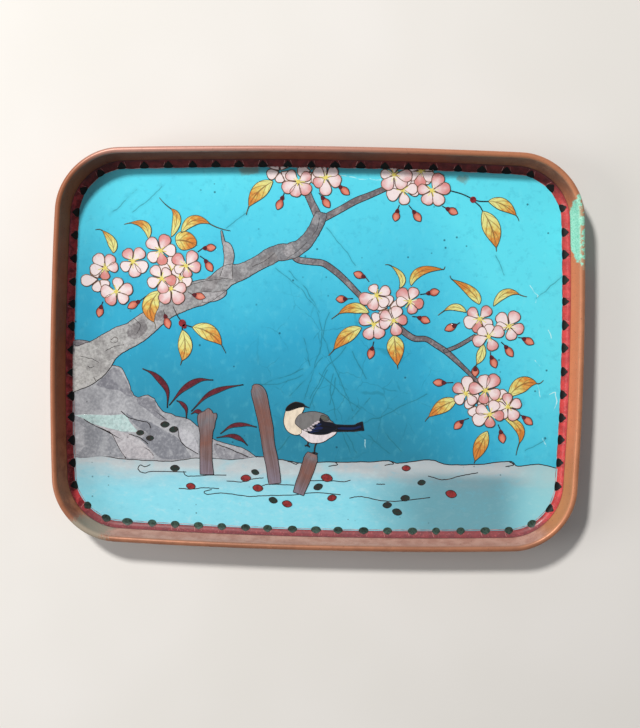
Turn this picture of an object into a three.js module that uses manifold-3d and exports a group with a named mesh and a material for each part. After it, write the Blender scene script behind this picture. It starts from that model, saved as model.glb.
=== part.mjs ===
// Cloisonne tray. A copper pan with a rolled lip, whose floor is filled with flush fields of
// enamel: a red border up the foot of the wall, and inside it a picture of sky, water, rocks,
// a flowering branch, stakes and a small bird. The underside has a plain coat of enamel.
// Millimetres, +Z up, origin on the surface that the tray stands on, under its middle.
import * as THREE from "three";
import { mergeVertices } from "three/addons/utils/BufferGeometryUtils.js";
import Module from "manifold-3d";

const wasm = await Module();
wasm.setup();

// Outside of the tray
const trayLength = 140; // over the lip, along X
const trayWidth = 106; // over the lip, along Y
const trayHeight = 10; // from the table to the top of the lip
const cornerRadius = 15.8; // of the lip's outside, in plan
const sideBow = 1.6; // how far each side swells out at its middle

// Copper pan
const sheetThickness = 0.8; // of the pan's floor
const wallThickness = 1.1;
const lipRadius = 0.8; // of the rolled edge
const wallLean = 1.0; // how much nearer the middle the wall's foot is than its top
const wallHollow = 0.15; // how far the wall's inner face is dished
const footRadiusAcross = 2.9; // of the rounded edge under the wall, along the floor
const footRadiusUp = 3.2; // the same, up the wall

// Enamel
const undersideThickness = 0.5; // plain coat under the pan
const undersideEdge = 0.6; // how far that coat's rim is rounded in
const enamelThickness = 0.9; // of the fields on the floor
const borderWidth = 1.8; // of the red border, seen from above
const borderRise = 1.5; // how far the border climbs the wall
const borderEdge = 0.5; // thickness of the border at its top
const wireWidth = 0.3; // room for a wire between two fields
const leastCell = 10; // square millimetres of the smallest cell worth filling

// Figures of the picture
const flowerRadius = 4.4;
const flowerSpacing = 6.2; // between the middles of two flowers side by side
const flowerNotch = 0.9; // how deep the petals part
const birdLength = 21;
const birdDepth = 8.2; // of its body, back to belly
const tailWidth = 2.2;
const trunkWidth = 13; // where the branch comes in at the border
const twigWidth = 2.4;
const stakeWidth = 4;

// How finely round things are cut
const cornerSteps = 8;
const sideSteps = 6;
const arcSteps = 6;
const lipSteps = 7;
const petalSteps = 4;
const strokeSteps = 3;

// Heights
const panUnder = undersideThickness;
const panFloor = panUnder + sheetThickness;
const enamelTop = panFloor + enamelThickness;
const borderTop = enamelTop + borderRise;
const lipHeight = trayHeight - lipRadius;

// Insets, measured inwards from the lip's outside
const wallTopInset = 2 * lipRadius - 0.1;
const borderTopInset = wallTopInset + wallLean;
const borderInset = borderTopInset + borderWidth;
const outerFootInset = borderTopInset - wallThickness;
const baseInset = outerFootInset + footRadiusAcross;
const pictureInset = borderInset + wireWidth;
const pictureHalfLength = trayLength / 2 - pictureInset;
const pictureHalfWidth = trayWidth / 2 - pictureInset;

const colours = {
  copper: [0xb8744f, 0.35, 1.0],
  underside: [0x2f8f9d, 0.3, 0.0],
  border: [0xa03238, 0.25, 0.0],
  sky: [0x35b4d2, 0.2, 0.0],
  water: [0x9fdbe3, 0.2, 0.0],
  rock: [0x8d8f99, 0.25, 0.0],
  branch: [0x7d7a7e, 0.25, 0.0],
  stake: [0x85685c, 0.25, 0.0],
  flower: [0xf3d9d6, 0.2, 0.0],
  bird: [0x55606b, 0.2, 0.0],
};

function finish(name) {
  const [color, roughness, metalness] = colours[name];
  return new THREE.MeshStandardMaterial({ color, roughness, metalness });
}

// The tray's outline moved in by inset: a rounded rectangle whose sides swell by sideBow.
function outlineAt(inset) {
  const halfX = trayLength / 2 - sideBow - inset;
  const halfY = trayWidth / 2 - sideBow - inset;
  const radius = cornerRadius - inset;
  const corners = [[1, 1], [-1, 1], [-1, -1], [1, -1]];
  const points = [];
  corners.forEach(([signX, signY], corner) => {
    const middle = new THREE.Vector2(signX * (halfX - radius), signY * (halfY - radius));
    for (let i = 0; i <= cornerSteps; i++) {
      const angle = (corner + i / cornerSteps) * (Math.PI / 2);
      points.push(new THREE.Vector2(Math.cos(angle), Math.sin(angle)).multiplyScalar(radius).add(middle));
    }
    const [nextX, nextY] = corners[(corner + 1) % 4];
    const alongX = signX !== nextX;
    const start = points[points.length - 1].clone();
    const end = alongX
      ? new THREE.Vector2(nextX * (halfX - radius), start.y)
      : new THREE.Vector2(start.x, nextY * (halfY - radius));
    for (let i = 1; i < sideSteps; i++) points.push(start.clone().lerp(end, i / sideSteps));
  });
  return points.map(({ x, y }) => {
    const shareX = x / halfX;
    const shareY = y / halfY;
    return new THREE.Vector2(
      x + shareX * sideBow * (1 - shareY * shareY),
      y + shareY * sideBow * (1 - shareX * shareX),
    );
  });
}

// A solid whose section, a list of [inset, height], runs round the tray's outline. The section
// goes outwards below and inwards above. An open one is closed by a flat face at each end. Every
// panel is split along the same diagonal whichever way the section runs, so two solids that share
// a curve meet on it exactly.
function runRound(section, closed) {
  const rings = section.map(([inset, height]) => outlineAt(inset).map(({ x, y }) => [x, y, height]));
  const count = rings[0].length;
  const positions = rings.flat(2);
  const index = [];
  const last = closed ? rings.length : rings.length - 1;
  for (let i = 0; i < last; i++) {
    const after = (i + 1) % rings.length;
    const here = i * count;
    const next = after * count;
    const falling = section[after][1] < section[i][1];
    for (let j = 0; j < count; j++) {
      const k = (j + 1) % count;
      if (falling) index.push(here + j, here + k, next + j, here + k, next + k, next + j);
      else index.push(here + j, here + k, next + k, here + j, next + k, next + j);
    }
  }
  if (!closed) {
    const low = positions.length / 3;
    const high = low + 1;
    const top = (rings.length - 1) * count;
    positions.push(0, 0, section[0][1], 0, 0, section[section.length - 1][1]);
    for (let j = 0; j < count; j++) {
      const k = (j + 1) % count;
      index.push(low, k, j, high, top + j, top + k);
    }
  }
  const geometry = new THREE.BufferGeometry();
  geometry.setAttribute("position", new THREE.Float32BufferAttribute(positions, 3));
  geometry.setIndex(index);
  return geometry;
}

// Points on an ellipse's quarter about [inset, height], from the angle to the next, in degrees.
function arc([inset, height], across, up, from, to, steps) {
  return Array.from({ length: steps + 1 }, (_, i) => {
    const angle = THREE.MathUtils.degToRad(from + ((to - from) * i) / steps);
    return [inset - across * Math.cos(angle), height + up * Math.sin(angle)];
  });
}

function copperPan() {
  const lipMiddle = [lipRadius, lipHeight];
  const wallTop = lipHeight - lipRadius / 2;
  const innerWall = Array.from({ length: arcSteps }, (_, i) => {
    const share = (i + 1) / arcSteps;
    const dish = wallHollow * Math.sin(Math.PI * share);
    return [wallTopInset + wallLean * share - dish, wallTop + (borderTop - wallTop) * share];
  });
  return runRound([
    ...arc([baseInset, panUnder + footRadiusUp], footRadiusAcross, footRadiusUp, -90, 0, arcSteps),
    ...arc(lipMiddle, lipRadius, lipRadius, -60, 150, lipSteps),
    ...innerWall,
    [borderTopInset - borderEdge, borderTop],
    ...arc(
      [borderInset, borderTop],
      borderWidth + borderEdge,
      borderRise + enamelThickness,
      0,
      -90,
      arcSteps,
    ),
  ], false);
}

function undersideCoat() {
  return runRound([
    [baseInset + undersideEdge, 0],
    [baseInset + undersideEdge / 4, undersideThickness / 4],
    [baseInset, undersideThickness],
  ], false);
}

// The border fills the curve between the pan's floor and the ledge in its wall.
function redBorder() {
  const middle = [borderInset, borderTop];
  const below = arc(middle, borderWidth + borderEdge, borderRise + enamelThickness, -90, 0, arcSteps);
  const above = arc(middle, borderWidth, borderRise, 0, -90, arcSteps);
  return runRound([...below, ...above], true);
}

function solidFrom(geometry) {
  const bare = geometry.index ? geometry.toNonIndexed() : geometry.clone();
  bare.deleteAttribute("normal");
  bare.deleteAttribute("uv");
  const merged = mergeVertices(bare, 1e-4);
  return new wasm.Manifold(new wasm.Mesh({
    numProp: 3,
    vertProperties: merged.attributes.position.array,
    triVerts: new Uint32Array(merged.index.array),
  }));
}

function geometryFrom(solid) {
  const { vertProperties, triVerts } = solid.getMesh();
  const geometry = new THREE.BufferGeometry();
  geometry.setAttribute("position", new THREE.BufferAttribute(vertProperties, 3));
  geometry.setIndex(new THREE.BufferAttribute(triVerts, 1));
  geometry.computeVertexNormals();
  return geometry;
}

// An enamel field standing on the pan's floor, from its outline.
function fieldOf(outline) {
  const shape = new THREE.Shape(outline);
  const geometry = new THREE.ExtrudeGeometry(shape, { depth: enamelThickness, bevelEnabled: false });
  return solidFrom(geometry.translate(0, 0, panFloor));
}

const join = (solids) => solids.reduce((all, solid) => all.add(solid));

// A place in the picture: across and up run from -1 at one side of it to 1 at the other.
const place = (across, up) => new THREE.Vector2(across * pictureHalfLength, up * pictureHalfWidth);

// A brush stroke: a smooth line through points, each [place, width], and grow added all round.
function stroke(points, grow) {
  const curve = new THREE.SplineCurve(points.map(([point]) => point));
  const spans = points.length - 1;
  const steps = spans * strokeSteps;
  const left = [];
  const right = [];
  for (let i = 0; i <= steps; i++) {
    const span = Math.min(Math.floor(i / strokeSteps), spans - 1);
    const share = i / strokeSteps - span;
    const width = THREE.MathUtils.lerp(points[span][1], points[span + 1][1], share);
    const along = curve.getTangent(i / steps);
    const end = (i === steps ? 1 : 0) - (i === 0 ? 1 : 0);
    const middle = curve.getPoint(i / steps).addScaledVector(along, end * grow);
    const side = new THREE.Vector2(-along.y, along.x).multiplyScalar(width / 2 + grow);
    left.push(middle.clone().add(side));
    right.push(middle.clone().sub(side));
  }
  return fieldOf([...right, ...left.reverse()]);
}

function oval(middle, halfLength, halfDepth, turn, steps) {
  return fieldOf(Array.from({ length: steps }, (_, i) => {
    const angle = (i / steps) * 2 * Math.PI;
    return new THREE.Vector2(halfLength * Math.cos(angle), halfDepth * Math.sin(angle))
      .rotateAround(new THREE.Vector2(), turn)
      .add(middle);
  }));
}

// A five-petalled flower: its radius dips where two petals meet.
function flower(middle, turn, grow) {
  const steps = 5 * petalSteps;
  return fieldOf(Array.from({ length: steps }, (_, i) => {
    const angle = (i / steps) * 2 * Math.PI;
    const petal = Math.abs(Math.cos(2.5 * angle));
    const radius = flowerRadius - flowerNotch * (1 - petal) + grow;
    return new THREE.Vector2(Math.cos(angle + turn), Math.sin(angle + turn))
      .multiplyScalar(radius)
      .add(middle);
  }));
}

// A bunch of flowers set in a ring, side by side, with its middle filled.
function bunch({ across, up, count, turn }, grow) {
  const middle = place(across, up);
  const ringRadius = flowerSpacing / 2 / Math.sin(Math.PI / count);
  const flowers = Array.from({ length: count }, (_, i) => {
    const angle = turn + (i / count) * 2 * Math.PI;
    const offset = new THREE.Vector2(Math.cos(angle), Math.sin(angle)).multiplyScalar(ringRadius);
    return flower(offset.add(middle), angle, grow);
  });
  const inside = ringRadius + grow;
  return join([oval(middle, inside, inside, 0, 12), ...flowers]);
}

const bunches = {
  blossoms_far_left: { across: -0.82, up: 0.39, count: 3, turn: 0.4 },
  blossoms_left: { across: -0.6, up: 0.41, count: 5, turn: 1.0 },
  blossoms_top: { across: -0.03, up: 0.93, count: 2, turn: 0.25 },
  blossoms_top_right: { across: 0.385, up: 0.92, count: 4, turn: 0.5 },
  blossoms_middle: { across: 0.295, up: 0.22, count: 4, turn: 0.8 },
  blossoms_right: { across: 0.725, up: 0.13, count: 3, turn: 1.6 },
  blossoms_low_right: { across: 0.71, up: -0.26, count: 4, turn: 0.6 },
};

// The branch: a trunk that climbs from the left border and its twigs, as shares of the picture.
const trunkShares = [
  [-1.06, -0.2, 1], [-0.87, -0.04, 0.82], [-0.75, 0.07, 0.68], [-0.6, 0.2, 0.6], [-0.46, 0.33, 0.52],
  [-0.32, 0.44, 0.44], [-0.14, 0.53, 0.36], [-0.06, 0.6, 0.3], [0.01, 0.74, 0.26],
];
const twigs = [
  [[0.0, 0.7], [-0.03, 0.82], [-0.04, 0.93]],
  [[0.0, 0.7], [0.1, 0.78], [0.24, 0.86], [0.38, 0.92]],
  [[-0.1, 0.5], [0.01, 0.48], [0.13, 0.37], [0.2, 0.24]],
];
const lowerTwigs = [
  [[0.33, 0.14], [0.44, 0.05], [0.53, -0.02], [0.66, -0.16]],
  [[0.53, -0.02], [0.6, 0.04], [0.68, 0.07]],
];
const strokeThrough = (line, width, grow) =>
  stroke(line.map(([across, up]) => [place(across, up), width]), grow);

function branch(grow) {
  const trunk = trunkShares.map(([across, up, share]) => [place(across, up), trunkWidth * share]);
  return join([stroke(trunk, grow), ...twigs.map((line) => strokeThrough(line, twigWidth, grow))]);
}

function lowerTwig(grow) {
  return join(lowerTwigs.map((line) => strokeThrough(line, twigWidth * 0.8, grow)));
}

// A small bird looking left, with stakes beside and below it. All of these are placed from the
// middle of its body, as shares of its length.
const birdPlace = place(-0.035, -0.42);
const birdHead = [-0.25, 0.17];
const headRadiusShare = 0.15;
const bodyHalfShare = 0.33;
const bodyTurn = -0.3;
const birdTail = [[0.15, -0.02], [0.36, 0.0], [0.62, 0.03]];
const stakes = {
  stake_left: [[-1.28, 0.16], [-1.29, -0.23], [-1.28, -0.64]],
  stake_middle: [[-0.62, 0.44], [-0.51, -0.18], [-0.4, -0.78]],
  stake_right: [[0.07, -0.41], [0.0, -0.64], [-0.08, -0.9]],
};

const fromBird = (along, up) => new THREE.Vector2(along, up).multiplyScalar(birdLength).add(birdPlace);
const strokeNearBird = (line, width, grow) =>
  stroke(line.map(([along, up]) => [fromBird(along, up), width]), grow);

function bird(grow) {
  const headRadius = headRadiusShare * birdLength + grow;
  const halfLength = bodyHalfShare * birdLength + grow;
  return join([
    oval(fromBird(...birdHead), headRadius, headRadius, 0, 16),
    oval(birdPlace, halfLength, birdDepth / 2 + grow, bodyTurn, 24),
    strokeNearBird(birdTail, tailWidth, grow),
  ]);
}

// Rocks pile up against the left border, down to the water.
const waterline = [
  [-1.2, -0.63], [-0.55, -0.64], [-0.1, -0.62], [0.35, -0.61], [0.52, -0.63], [0.85, -0.62], [1.2, -0.62],
];
const rockTop = [
  [-1.2, -0.2], [-0.97, -0.18], [-0.84, -0.12], [-0.77, -0.19], [-0.73, -0.29], [-0.64, -0.32],
  [-0.59, -0.38], [-0.5, -0.42], [-0.41, -0.52], [-0.3, -0.57], [-0.22, -0.62],
];

function smooth(shares, steps) {
  return new THREE.SplineCurve(shares.map(([across, up]) => place(across, up))).getPoints(steps);
}

function underLine(line, grow) {
  const top = line.map(({ x, y }) => new THREE.Vector2(x, y + grow));
  const floor = place(0, -1.3).y;
  return fieldOf([
    new THREE.Vector2(top[0].x, floor),
    new THREE.Vector2(top[top.length - 1].x, floor),
    ...top.reverse(),
  ]);
}

const water = (grow) => underLine(smooth(waterline, 24), grow);
const rocks = (grow) => underLine(smooth(rockTop, 30), grow);

// A field that the figures in front part is one cell or more, the largest first. Slivers too
// small to hold enamel between their wires are left to the wires.
function cellsOf(solid) {
  return solid.decompose()
    .filter((cell) => cell.volume() > leastCell * enamelThickness)
    .sort((a, b) => b.volume() - a.volume());
}

// The fields from front to back. Each is cut by those in front of it, a wire's width clear.
function pictureFields() {
  const picture = solidFrom(runRound([[pictureInset, panFloor], [pictureInset, enamelTop]], false));
  const figures = [
    ...Object.entries(bunches).map(([name, spec]) => [name, (grow) => bunch(spec, grow), "flower"]),
    ["bird", bird, "bird"],
    ...Object.entries(stakes).map(([name, line]) => [
      name,
      (grow) => strokeNearBird(line, stakeWidth, grow),
      "stake",
    ]),
    ["branch", branch, "branch"],
    ["lower_twig", lowerTwig, "branch"],
    ["water", water, "water"],
    ["rocks", rocks, "rock"],
    ["sky", () => picture, "sky"],
  ];
  const meshes = [];
  let taken = null;
  for (const [name, shapeOf, colour] of figures) {
    const own = shapeOf(0).intersect(picture);
    const left = taken ? own.subtract(taken) : own;
    cellsOf(left).forEach((cell, i) => {
      const suffix = i === 0 ? "_enamel" : `_enamel_${i + 1}`;
      meshes.push(named(name + suffix, geometryFrom(cell), colour));
    });
    const grown = shapeOf(wireWidth);
    taken = taken ? taken.add(grown) : grown;
  }
  return meshes;
}

function named(name, geometry, colour) {
  const mesh = new THREE.Mesh(geometry, finish(colour));
  mesh.name = name;
  return mesh;
}

const tray = new THREE.Group();
tray.name = "cloisonne_tray";
tray.add(
  named("copper_pan", copperPan(), "copper"),
  named("underside_enamel", undersideCoat(), "underside"),
  named("border_enamel", redBorder(), "border"),
  ...pictureFields(),
);

export default tray;
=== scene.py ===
import bmesh
import bpy
import numpy as np
from mathutils import Matrix, Vector


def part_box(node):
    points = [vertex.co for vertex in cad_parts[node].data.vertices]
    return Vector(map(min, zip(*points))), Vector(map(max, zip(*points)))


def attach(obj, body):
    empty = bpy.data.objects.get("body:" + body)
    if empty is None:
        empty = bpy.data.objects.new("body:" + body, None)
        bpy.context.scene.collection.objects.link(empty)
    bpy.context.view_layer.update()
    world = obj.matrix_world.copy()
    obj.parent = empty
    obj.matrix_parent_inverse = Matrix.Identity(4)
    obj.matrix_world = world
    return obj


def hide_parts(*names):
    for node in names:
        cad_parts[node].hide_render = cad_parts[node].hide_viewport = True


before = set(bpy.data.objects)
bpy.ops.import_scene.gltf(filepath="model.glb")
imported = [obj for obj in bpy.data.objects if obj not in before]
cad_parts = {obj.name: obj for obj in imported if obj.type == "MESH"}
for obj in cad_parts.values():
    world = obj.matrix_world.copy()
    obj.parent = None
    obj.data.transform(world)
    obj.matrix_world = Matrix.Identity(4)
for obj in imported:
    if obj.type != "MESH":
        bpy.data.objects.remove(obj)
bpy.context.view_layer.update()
chance = np.random.default_rng(11)

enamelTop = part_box("sky_enamel")[1].z * 1000
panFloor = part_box("sky_enamel")[0].z * 1000
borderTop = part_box("border_enamel")[1].z * 1000
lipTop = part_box("copper_pan")[1].z * 1000
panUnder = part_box("copper_pan")[0].z * 1000

tray = {
    "length": 2000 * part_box("copper_pan")[1].x,
    "width": 2000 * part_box("copper_pan")[1].y,
    "cornerRadius": 15.8,
    "cornerPace": 0.8,  # a corner's part of the walk round, as a share of its true length
    "sideBow": 1.6,  # how far each side swells at its middle
    "steps": 480,  # round the outline
}


def rgb(red, green, blue):
    # A screen colour, 0 to 255, as light: the usual curve, a power of 2.4 above a short straight foot.
    share = np.array([red, green, blue]) / 255
    light = np.where(share < 0.04045, share / 12.92, ((share + 0.055) / 1.055) ** 2.4)
    return (float(light[0]), float(light[1]), float(light[2]), 1.0)


white = (1.0, 1.0, 1.0, 1.0)

# Shapes


def onTray(share, inset):
    # Where a point lies that is this share of the way round the tray and this far in from the
    # lip's outside. It is the nearest point of the rectangle that the corners turn about, plus the
    # outward direction times what is left of the corner's radius, and then the swelling: each
    # coordinate grows by its share of the half width times the bow times one minus the other's
    # share squared.
    radius, bow = tray["cornerRadius"], tray["sideBow"]
    flatX, flatY = tray["length"] / 2 - bow - radius, tray["width"] / 2 - bow - radius
    corner = tray["cornerPace"] * radius * np.pi / 2
    ends = np.cumsum([0] + [2 * flatY, corner, 2 * flatX, corner] * 2)
    walk = np.mod(share, 1.0) * ends[-1]
    middleX = np.interp(walk, ends, flatX * np.array([1, 1, 1, -1, -1, -1, -1, 1, 1]))
    middleY = np.interp(walk, ends, flatY * np.array([-1, 1, 1, 1, 1, -1, -1, -1, -1]))
    angle = np.interp(walk, ends, np.pi / 2 * np.array([0, 0, 1, 1, 2, 2, 3, 3, 4]))
    reach = radius - inset
    x, y = middleX + reach * np.cos(angle), middleY + reach * np.sin(angle)
    shareX, shareY = x / (flatX + reach), y / (flatY + reach)
    return x + shareX * bow * (1 - shareY**2), y + shareY * bow * (1 - shareX**2)


def gridQuads(rows, columns, rowsMeet, columnsMeet):
    # The quads of a grid, joined end to end in either direction.
    row = np.arange(rows if rowsMeet else rows - 1)[:, None]
    column = np.arange(columns if columnsMeet else columns - 1)[None, :]
    nextRow, nextColumn = (row + 1) % rows, (column + 1) % columns
    corners = [
        row * columns + column,
        row * columns + nextColumn,
        nextRow * columns + nextColumn,
        nextRow * columns + column,
    ]
    return np.stack(np.broadcast_arrays(*corners), -1).reshape(-1, 4)


class Shell:
    # Collects closed surfaces and makes them one piece.
    def __init__(self):
        self.points, self.faces, self.uvs, self.tints, self.count = [], [], [], [], 0

    def add(self, points, meets=False, uv=None, tint=white):
        # points[copy, station, around] are skins whose sections close on themselves. Their ends
        # meet, or are closed by a flat face each. tint is one colour, one for each copy, or an
        # array with one for each point.
        copies, stations, around, _ = points.shape
        quads = gridQuads(stations, around, meets, True)
        first = np.arange(copies)[:, None, None] * (stations * around) + self.count
        self.faces += (quads[None] + first).reshape(-1, 4).tolist()
        if not meets:
            ends = np.stack([np.arange(around)[::-1], (stations - 1) * around + np.arange(around)])
            self.faces += (ends[None] + first).reshape(-1, around).tolist()
        self.points.append(points.reshape(-1, 3))
        self.uvs.append(np.zeros((points[..., 0].size, 2)) if uv is None else uv.reshape(-1, 2))
        if np.ndim(tint) < 4:
            tint = np.atleast_2d(tint)[:, None, None]
        self.tints.append(np.broadcast_to(tint, (copies, stations, around, 4)).reshape(-1, 4))
        self.count += copies * stations * around
        return self

    def bars(self, paths, widths, layers, tint=white):
        flat, uv = strokes(paths, widths, layers)
        return self.add(flat, uv=uv, tint=tint)

    def plates(self, outlines, layers, tint=white):
        flat, uv = patches(outlines, layers)
        return self.add(flat, uv=uv, tint=tint)

    def build(self, name, material, nodes=(), slot=None, smooth=False):
        mesh = bpy.data.meshes.new(name)
        mesh.from_pydata((np.concatenate(self.points) / 1000).tolist(), [], self.faces)
        cleaner = bmesh.new()
        cleaner.from_mesh(mesh)
        bmesh.ops.recalc_face_normals(cleaner, faces=cleaner.faces)
        cleaner.to_mesh(mesh)
        cleaner.free()
        corners = np.empty(len(mesh.loops), dtype=np.int32)
        mesh.loops.foreach_get("vertex_index", corners)
        uvLayer = mesh.uv_layers.new(name="UVMap")
        uvLayer.data.foreach_set("uv", np.concatenate(self.uvs)[corners].ravel())
        tint = mesh.attributes.new("tint", "FLOAT_COLOR", "POINT")
        tint.data.foreach_set("color", np.concatenate(self.tints).astype(np.float32).ravel())
        mesh.polygons.foreach_set("use_smooth", np.full(len(mesh.polygons), smooth))
        mesh.materials.append(material)
        piece = bpy.data.objects.new(name, mesh)
        bpy.context.scene.collection.objects.link(piece)
        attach(piece, "root")
        if nodes:
            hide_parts(*nodes)


def roundTray(section, wobble=0.0):
    # Carries a section, a list of [inset, height], round the tray's outline. wobble moves it in
    # and out by a sum of three slow sines of the way round, never past the outline.
    section = np.array(section, dtype=float)
    share = np.arange(tray["steps"])[:, None] / tray["steps"]
    turn = 2 * np.pi * share
    waves = np.sin(3 * turn + 1.0) + 0.6 * np.sin(7 * turn + 2.2) + 0.4 * np.sin(13 * turn + 0.4)
    x, y = onTray(share, section[None, :, 0] + wobble * (waves + 2) / 4)
    z = np.broadcast_to(section[None, :, 1], x.shape)
    return np.stack([x, y, z], -1)[None]


def closedRound(section, wobble=0.0):
    # The same, with a flat face over each end of the section.
    return roundTray(section, wobble).transpose(0, 2, 1, 3)


def arc(inset, height, across, up, start, end, count):
    # Points on an ellipse about [inset, height], from one angle to another in degrees; the angle
    # opens outwards from the tray's middle.
    angle = np.radians(np.linspace(start, end, count))
    return np.stack([inset - across * np.cos(angle), height + up * np.sin(angle)], -1).tolist()


def curveThrough(points, count, closed=False):
    # A smooth line through the points: a cubic between each two, whose slope at a point is half
    # the step from the one before it to the one after.
    points = np.array(points, dtype=float)
    if closed:
        slopes = (np.roll(points, -1, 0) - np.roll(points, 1, 0)) / 2
        points, slopes = np.vstack([points, points[:1]]), np.vstack([slopes, slopes[:1]])
        t = np.linspace(0, len(points) - 1, count, endpoint=False)
    else:
        slopes = np.gradient(points, axis=0)
        t = np.linspace(0, len(points) - 1, count)
    i = np.minimum(t.astype(int), len(points) - 2)
    f = (t - i)[:, None]
    start, end, slopeStart, slopeEnd = points[i], points[i + 1], slopes[i], slopes[i + 1]
    return (
        start * (1 + 2 * f) * (1 - f) ** 2
        + slopeStart * f * (1 - f) ** 2
        + end * f**2 * (3 - 2 * f)
        + slopeEnd * f**2 * (f - 1)
    )


def mirrored(half):
    # A closed outline from its right half, whose ends lie on the middle line.
    return half + [(-x, y) for x, y in half[-2:0:-1]]


def eased(count):
    # Steps from 0 to 1 that are finer at both ends.
    return (1 - np.cos(np.linspace(0, np.pi, count))) / 2


def parabola(start, pull, end, t):
    # Lines that leave start towards pull and come in to end from there.
    t = t[None, :, None]
    return start[:, None] * (1 - t) ** 2 + pull[:, None] * 2 * t * (1 - t) + end[:, None] * t**2


def ovals(middles, wide, high, count, turned=0.0, pointed=0.0):
    # Closed outlines about these middles: half as wide and high as said, drawn in towards points
    # at both ends by a share, and turned.
    ring = np.arange(count) * 2 * np.pi / count
    along, across = wide * np.cos(ring), high * np.sin(ring) * (1 - pointed * np.cos(2 * ring))
    x = middles[..., :1] + along * np.cos(turned) - across * np.sin(turned)
    y = middles[..., 1:2] + along * np.sin(turned) + across * np.cos(turned)
    return np.stack([x, y], -1)


def unit(vectors):
    return vectors / (np.linalg.norm(vectors, axis=-1, keepdims=True) + 1e-9)


def headings(paths, closed=False):
    # Which way each path runs, from the step between each point's neighbours.
    if closed:
        return unit(np.roll(paths, -1, 1) - np.roll(paths, 1, 1))
    return unit(np.gradient(paths, axis=1))


def sideways(paths, closed=False):
    # The direction to the left of each path.
    along = headings(paths, closed)
    return np.stack([-along[..., 1], along[..., 0]], -1)


inlay = {
    "sunk": 0.25,  # how deep an inlay goes into the field below it
    "edge": 0.012,  # how far its rim is rounded down
    "layer": 0.016,  # each figure lies this much above the one behind it
    "thinnest": 0.03,  # the least width of a bar
    "wireRadius": 0.12,
    "wireHalfHeight": 0.05,
    "wireProud": 0.008,
    "dip": 1.3,  # how steeply a figure dips under the border, past the picture's edge
    "runOn": 0.8,  # how far it runs on there at most
    "edgeSteps": 720,  # where the picture's edge is measured
}


def heightOf(layer):
    return enamelTop + inlay["layer"] * np.asarray(layer, dtype=float)


def settle(flat, height):
    # Where a figure runs out over the picture's edge it dips under the border: the height falls by
    # the dip times how far a point lies beyond the edge, and the point stops under the border.
    share = np.linspace(0, 1, inlay["edgeSteps"], endpoint=False)
    x, y = onTray(share, pan["borderInset"] + 0.05)
    angle, far = np.arctan2(y, x), np.hypot(x, y)
    order = np.argsort(angle)
    turn = np.arctan2(flat[..., 1], flat[..., 0])
    limit = np.interp(turn, angle[order], far[order], period=2 * np.pi)
    distance = np.hypot(flat[..., 0], flat[..., 1])
    over = np.maximum(distance - limit, 0)
    kept = (distance - np.maximum(over - inlay["runOn"], 0)) / np.maximum(distance, 1e-6)
    lowered = height - inlay["dip"] * np.minimum(over, inlay["runOn"])
    return np.concatenate([flat * kept[..., None], lowered[..., None]], -1)


def strokes(paths, widths, layers):
    # A flat bar along each path. Across it the left and right edges lie half the width to each
    # side; its top is level and its foot is sunk in the field.
    across = np.array([-1, -1, -0.94, 0.94, 1, 1])
    drop = np.array([inlay["sunk"], inlay["edge"], 0, 0, inlay["edge"], inlay["sunk"]])
    reach = across * np.maximum(widths, inlay["thinnest"])[..., None] / 2
    flat = paths[:, :, None] + sideways(paths)[:, :, None] * reach[..., None]
    height = heightOf(layers).reshape(-1, 1, 1) - drop * np.ones_like(reach)
    u = np.linspace(0, 1, paths.shape[1])[None, :, None]
    uv = np.stack(np.broadcast_arrays(u, (across + 1) / 2, reach)[:2], -1)
    return settle(flat, height), uv


def rimOf(paths, widths):
    # The closed outline of such a bar: out along its left side and back along its right.
    reach = sideways(paths) * np.maximum(widths, inlay["thinnest"])[..., None] / 2
    return np.concatenate([paths + reach, (paths - reach)[:, ::-1]], 1)


def wires(paths, layers, closed, radius=None, taper=1):
    # A flattened wire along each path: six points on an ellipse round it, half sunk.
    radius = inlay["wireRadius"] if radius is None else radius
    angle = np.arange(6) * np.pi / 3
    reach = (radius * taper * np.ones(paths.shape[:2]))[..., None] * np.cos(angle)
    flat = paths[:, :, None] + sideways(paths, closed)[:, :, None] * reach[..., None]
    half = inlay["wireHalfHeight"]
    middle = heightOf(layers).reshape(-1, 1, 1) + inlay["wireProud"] - half
    return settle(flat, middle + half * np.sin(angle) * np.ones_like(reach))


def patches(outlines, layers):
    # A flat plate inside each closed outline, in rings: from the middle of its foot out, up the
    # rim and back in over its face. Every point lies on the straight line from the outline's
    # middle to the outline.
    share = np.array([0.03, 1, 1, 0.985, 0.5, 0.03])
    drop = np.array([inlay["sunk"], inlay["sunk"], inlay["edge"], 0, 0, 0])
    middle = outlines.mean(1, keepdims=True)[:, None]
    flat = middle + (outlines[:, None] - middle) * share[:, None, None]
    height = heightOf(layers).reshape(-1, 1, 1) - drop[:, None] * np.ones(outlines.shape[1])
    return settle(flat, height), (flat - middle) / 12 + 0.5


def plateBetween(low, top, layer, rise=(0, 0, 0.02, 0.98, 1, 1)):
    # A flat plate between two lines of as many points: each row runs from low to top by these
    # shares, and its first and last two are the rims.
    level = [0] * (len(rise) - 4)
    drop = np.array([inlay["sunk"], inlay["edge"], *level, inlay["edge"], inlay["sunk"]])
    flat = low + (top - low) * np.array(rise)[:, None, None]
    height = heightOf(layer) - drop[:, None] * np.ones(len(low))
    return np.concatenate([flat, height[..., None]], -1)[None].transpose(0, 2, 1, 3)


# Materials


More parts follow.
